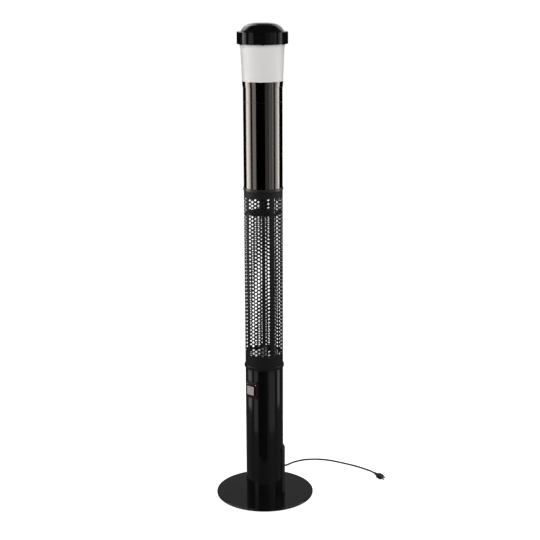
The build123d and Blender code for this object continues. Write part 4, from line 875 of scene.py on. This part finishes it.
def pullEdge(piece, height, move):
    # draws the open edge at a height out by a distance
    pickVertices(piece, lambda place: abs(place.z - height) < guardSetup["weld"])
    bpy.ops.mesh.extrude_region_move(TRANSFORM_OT_translate={"value": (0, 0, move)})


def pullToEnds(strip):
    # plain sheet from the pattern to the sleeve's lower and upper edges
    pullEdge(strip, patternBottom, -patternBottom)
    pullEdge(strip, patternTop, guardSetup["height"] - patternTop)
    bpy.ops.object.mode_set(mode="OBJECT")


def punchedCell():
    # a piece of sheet one column wide and one pitch high, with a round hole: its rim, bridged to a circle
    clearSelection()
    edges = guardSetup["cellEdges"]
    acrossReach = cellWidth / 2 - guardSetup["weld"]
    upReach = guardSetup["pitch"] / 2 - guardSetup["weld"]
    bpy.ops.mesh.primitive_grid_add(
        x_subdivisions=edges, y_subdivisions=edges, size=1.0, rotation=standing,
    )
    cell = bpy.context.object
    applyPlace()
    bpy.ops.object.mode_set(mode="EDIT")
    bpy.ops.mesh.select_mode(type="VERT")
    bpy.ops.transform.resize(value=(cellWidth, 1, guardSetup["pitch"]))
    pickVertices(cell, lambda place: abs(place.x) < acrossReach and abs(place.z) < upReach)
    bpy.ops.mesh.delete(type="VERT")
    bpy.ops.mesh.primitive_circle_add(
        vertices=4 * edges, radius=guardSetup["holeRadius"], rotation=standing,
    )
    bpy.ops.mesh.select_all(action="SELECT")
    bpy.ops.mesh.bridge_edge_loops()
    bpy.ops.object.mode_set(mode="OBJECT")
    return cell


def holeStrip(name, holes, bottom):
    # a column of holes from a height up, with plain sheet below and above it
    strip = punchedCell()
    strip.name = name
    strip.location.z = bottom + guardSetup["pitch"] / 2
    applyPlace()
    applyModifier(
        strip, "ARRAY", count=holes, use_relative_offset=False, use_constant_offset=True,
        constant_offset_displace=(0, 0, guardSetup["pitch"]),
        use_merge_vertices=True, merge_threshold=guardSetup["weld"],
    )
    top = bottom + holes * guardSetup["pitch"]
    bpy.ops.object.mode_set(mode="EDIT")
    while bottom > patternBottom + guardSetup["weld"]:
        pullEdge(strip, bottom, -rowStep)
        bottom -= rowStep
    while top < patternTop - guardSetup["weld"]:
        pullEdge(strip, top, rowStep)
        top += rowStep
    pullToEnds(strip)
    return strip


def blankStrip(name):
    # a column without holes, with the same rows, so that its edges meet its neighbours'
    clearSelection()
    rows = round((patternTop - patternBottom) / rowStep)
    bpy.ops.mesh.primitive_grid_add(
        x_subdivisions=guardSetup["cellEdges"], y_subdivisions=rows, size=1.0, rotation=standing,
    )
    strip = bpy.context.object
    strip.name = name
    strip.scale = (cellWidth, patternTop - patternBottom, 1)
    strip.location.z = (patternTop + patternBottom) / 2
    applyPlace()
    bpy.ops.object.mode_set(mode="EDIT")
    pullToEnds(strip)
    return strip


def weldSheet(evenNormals=False):
    # joins the vertices that meet where two columns, or the sheet's two ends, touch
    bpy.ops.object.mode_set(mode="EDIT")
    bpy.ops.mesh.select_all(action="SELECT")
    bpy.ops.mesh.remove_doubles(threshold=guardSetup["weld"])
    if evenNormals:
        bpy.ops.mesh.normals_make_consistent(inside=False)
    bpy.ops.object.mode_set(mode="OBJECT")


def makeGuard():
    strips = [
        holeStrip("evenColumn", guardSetup["evenHoles"], patternBottom),
        holeStrip("oddColumn", guardSetup["evenHoles"] - 1, patternBottom + guardSetup["pitch"] / 2),
        blankStrip("blankColumn"),
    ]
    sides = guardSetup["sides"]
    columns = []
    for side in range(sides):
        column = copyPiece(strips[2] if side in guardSetup["blankSides"] else strips[side % 2])
        column.location.x = (side - (sides - 1) / 2) * cellWidth
        columns.append(column)
    for strip in strips:
        bpy.data.objects.remove(strip)
    guard = joinPieces(columns, "guardSleeve")
    weldSheet()
    applyModifier(guard, "SIMPLE_DEFORM", deform_method="BEND", deform_axis="Z", angle=2 * math.pi)
    frontY = min(vertex.co.y for vertex in guard.data.vertices)
    guard.location = (0, -frontY - guardSetup["radius"], 0)
    applyPlace()
    # the bend puts the sheet's middle in front; the turn brings the first column to its bearing
    turn = guardSetup["firstBearing"] + 90 + 360 * (sides - 1) / 2 / sides
    guard.rotation_euler.z = math.radians(turn)
    guard.location.z = guardSetup["bottom"]
    applyPlace()
    weldSheet(evenNormals=True)
    applyModifier(guard, "SOLIDIFY", thickness=guardSetup["wall"], offset=-1.0)
    return finishPiece(
        guard, "guardMatte", "tower", "guard_matte", "guard_sleeve", angle=guardSetup["shading"],
    )


guard = makeGuard()
print("guard punched:", len(guard.data.polygons), "faces")


# pale floor that glows to the camera, in reflections and through clear parts, but lights nothing
floorLook = {"size": 400.0, "colour": (0.8, 0.8, 0.8, 1.0), "glow": 0.88}
floorMaterial = emptyMaterial("paleFloor")
rays = wireUp(floorMaterial, "ShaderNodeLightPath").outputs
seen = rays["Is Camera Ray"]
for ray in ("Is Glossy Ray", "Is Transmission Ray"):
    either = wireUp(floorMaterial, "ShaderNodeMath", set_operation="MAXIMUM", i0=seen, i1=rays[ray])
    seen = either.outputs[0]
glow = wireUp(floorMaterial, "ShaderNodeMath", set_operation="MULTIPLY", i0=seen, i1=floorLook["glow"])
matte = wireUp(floorMaterial, "ShaderNodeBsdfDiffuse", Color=floorLook["colour"])
shine = wireUp(floorMaterial, "ShaderNodeEmission", Strength=glow.outputs[0])
both = wireUp(floorMaterial, "ShaderNodeAddShader", i0=matte.outputs[0], i1=shine.outputs[0])
wireUp(floorMaterial, "ShaderNodeOutputMaterial", Surface=both.outputs[0])

clearSelection()
bpy.ops.mesh.primitive_plane_add(size=1.0, location=(0, 0, 0))
studioFloor = bpy.context.object
studioFloor.name = "studioFloor"
studioFloor.scale = (floorLook["size"], floorLook["size"], 1.0)
studioFloor.data.materials.append(floorMaterial)

# backdrop: its brightness by height above the horizon, as the sine of the angle
backdropLevels = [(0.33, 1.0), (0.37, 0.21), (0.55, 0.18), (0.75, 0.04)]
world = bpy.data.worlds.new("studioWorld")
scene.world = world
world.use_nodes = True
world.node_tree.nodes.clear()
direction = wireUp(world, "ShaderNodeTexCoord")
split = wireUp(world, "ShaderNodeSeparateXYZ", i0=direction.outputs["Generated"])
fade = wireUp(world, "ShaderNodeValToRGB", Fac=split.outputs["Z"])
for place, level in backdropLevels[1:-1]:
    fade.color_ramp.elements.new(place)
for element, (place, level) in zip(fade.color_ramp.elements, backdropLevels):
    element.position = place
    element.color = (level, level, level, 1.0)
backdrop = wireUp(world, "ShaderNodeBackground", Color=fade.outputs["Color"])
wireUp(world, "ShaderNodeOutputWorld", i0=backdrop.outputs[0])


# dark studio beyond the set, seen only as reflections: a low curtain all round, a grey vinyl floor
# round the tower and a black cloth over it in front
darkSet = {
    "sides": 96, "curtainRadius": 6.5, "curtainHeight": 2.3,
    "vinylInner": 0.2215, "vinylHeight": 0.0015,
    "clothNear": 0.5, "clothHeight": 0.003, "clothBearings": (-34.0, 15.0),
}
darkLooks = {
    "blackCloth": {"colour": (0.004, 0.004, 0.004), "roughness": 1.0, "specular": 0.0},
    "greyVinyl": {"colour": (0.12, 0.12, 0.12), "roughness": 0.45, "specular": 0.25},
}


def darkSurface(name):
    material, look = emptyMaterial(name), darkLooks[name]
    surface = wireUp(material, "ShaderNodeBsdfPrincipled", Roughness=look["roughness"])
    surface.inputs["Base Color"].default_value = (*look["colour"], 1.0)
    surface.inputs["Specular IOR Level"].default_value = look["specular"]
    wireUp(material, "ShaderNodeOutputMaterial", Surface=surface.outputs[0])
    return material


def reflectedOnly(thing, name, material):
    thing.name = name
    thing.data.materials.append(material)
    thing.visible_camera = False
    thing.visible_diffuse = False
    thing.visible_transmission = False
    thing.visible_shadow = False


blackCloth, greyVinyl = darkSurface("blackCloth"), darkSurface("greyVinyl")

clearSelection()
bpy.ops.mesh.primitive_cylinder_add(
    vertices=darkSet["sides"], radius=darkSet["curtainRadius"], depth=darkSet["curtainHeight"],
    end_fill_type="NOTHING", location=(0, 0, darkSet["curtainHeight"] / 2),
)
reflectedOnly(bpy.context.object, "darkCurtain", blackCloth)

clearSelection()
bpy.ops.mesh.primitive_circle_add(
    vertices=darkSet["sides"], radius=darkSet["vinylInner"], location=(0, 0, darkSet["vinylHeight"]),
)
bpy.ops.object.mode_set(mode="EDIT")
bpy.ops.mesh.extrude_region_move()
bpy.ops.transform.resize(value=[darkSet["curtainRadius"] / darkSet["vinylInner"]] * 3)
bpy.ops.object.mode_set(mode="OBJECT")
reflectedOnly(bpy.context.object, "vinylFloor", greyVinyl)

clearSelection()
near, far = darkSet["clothNear"], darkSet["curtainRadius"]
clothSides = [math.tan(math.radians(bearing)) for bearing in darkSet["clothBearings"]]
bpy.ops.mesh.primitive_plane_add(size=2.0, location=(0, 0, 0))
cloth = bpy.context.object
for vertex in cloth.data.vertices:
    depth = near if vertex.co.y > 0 else far
    vertex.co = (depth * clothSides[vertex.co.x > 0], -depth, darkSet["clothHeight"])
reflectedOnly(cloth, "darkFloorCloth", blackCloth)


# lamps: the bearing is measured round the tower from the camera's side, towards the right; a lamp
# without diffuse shows only in reflections, and one without glossy only lights
softboxes = {
    "leftStripA": {
        "bearing": -107.5, "distance": 1.15, "size": (0.15, 1.2), "height": 1.3, "radiance": 4.6,
        "diffuse": False,
    },
    "leftStripB": {
        "bearing": -100.5, "distance": 1.15, "size": (0.15, 1.2), "height": 1.3, "radiance": 6.0,
        "diffuse": False,
    },
    "leftStripC": {
        "bearing": -92.5, "distance": 1.15, "size": (0.18, 1.65), "height": 1.525, "radiance": 4.8,
        "diffuse": False,
    },
    "leftStripD": {
        "bearing": -84.0, "distance": 1.15, "size": (0.17, 1.65), "height": 1.525, "radiance": 3.2,
    },
    "leftStripE": {
        "bearing": -77.0, "distance": 1.15, "size": (0.13, 1.65), "height": 1.525, "radiance": 1.4,
    },
    "leftLow": {
        "bearing": -96.0, "distance": 1.15, "size": (0.66, 0.23), "height": 0.125, "radiance": 1.1,
        "diffuse": False,
    },
    "leftLowFill": {
        "bearing": -52.0, "distance": 0.85, "size": (0.36, 0.36), "height": 0.19, "radiance": 0.45,
        "diffuse": False,
    },
    "leftFill": {
        "bearing": -52.0, "distance": 2.4, "size": (0.95, 2.2), "height": 1.15, "radiance": 1.05,
    },
    "rightStripA": {
        "bearing": 103.0, "distance": 1.2, "size": (0.15, 1.2), "height": 1.3, "radiance": 4.8,
        "diffuse": False,
    },
    "rightStripB": {
        "bearing": 96.5, "distance": 1.2, "size": (0.15, 1.2), "height": 1.3, "radiance": 4.3,
        "diffuse": False,
    },
    "rightStripC": {
        "bearing": 89.0, "distance": 1.2, "size": (0.16, 1.65), "height": 1.525, "radiance": 3.0,
    },
    "rightStripD": {
        "bearing": 81.5, "distance": 1.2, "size": (0.16, 1.65), "height": 1.525, "radiance": 1.7,
    },
    "rightStripE": {
        "bearing": 75.0, "distance": 1.2, "size": (0.12, 1.65), "height": 1.525, "radiance": 0.8,
    },
    "rightLow": {
        "bearing": 94.0, "distance": 1.2, "size": (0.42, 0.23), "height": 0.125, "radiance": 1.0,
        "diffuse": False,
    },
    "rightLowFill": {
        "bearing": 45.0, "distance": 0.85, "size": (0.58, 0.36), "height": 0.19, "radiance": 0.3,
        "diffuse": False,
    },
    "rightFillSide": {
        "bearing": 59.0, "distance": 2.5, "size": (0.42, 2.2), "height": 1.15, "radiance": 1.0,
    },
    "rightFillMiddle": {
        "bearing": 43.0, "distance": 2.5, "size": (0.85, 2.2), "height": 1.15, "radiance": 0.5,
    },
    "rightFillFront": {
        "bearing": 22.0, "distance": 2.6, "size": (0.85, 2.2), "height": 1.15, "radiance": 0.22,
    },
    "leftRim": {
        "bearing": -148.0, "distance": 2.4, "size": (1.9, 1.2), "height": 3.6, "radiance": 2.8,
        "aim": 2.1, "diffuse": False,
    },
    "rightRim": {
        "bearing": 148.0, "distance": 2.4, "size": (1.5, 1.0), "height": 3.5, "radiance": 1.5,
        "aim": 2.1, "diffuse": False,
    },
    "frontHigh": {
        "bearing": -8.0, "distance": 3.6, "size": (2.4, 1.8), "height": 4.4, "radiance": 5.6,
        "aim": 1.2, "glossy": False,
    },
    "overhead": {
        "bearing": 150.0, "distance": 1.2, "size": (1.6, 1.6), "height": 3.6, "radiance": 3.0,
        "aim": 1.0, "glossy": False,
    },
}
for name, box in softboxes.items():
    lampData = bpy.data.lights.new(name, "AREA")
    lampData.shape = "RECTANGLE"
    width, height = box["size"]
    lampData.size, lampData.size_y = width, height
    lampData.energy = math.pi * width * height * box["radiance"]
    lamp = bpy.data.objects.new(name, lampData)
    scene.collection.objects.link(lamp)
    angle = math.radians(box["bearing"])
    distance = box["distance"]
    place = Vector((distance * math.sin(angle), -distance * math.cos(angle), box["height"]))
    aim = Vector((0, 0, box.get("aim", box["height"])))
    lamp.location = place
    lamp.rotation_euler = (aim - place).to_track_quat("-Z", "Y").to_euler()
    lamp.visible_camera = False
    lamp.visible_diffuse = box.get("diffuse", True)
    lamp.visible_glossy = box.get("glossy", True)
print("stage lit")
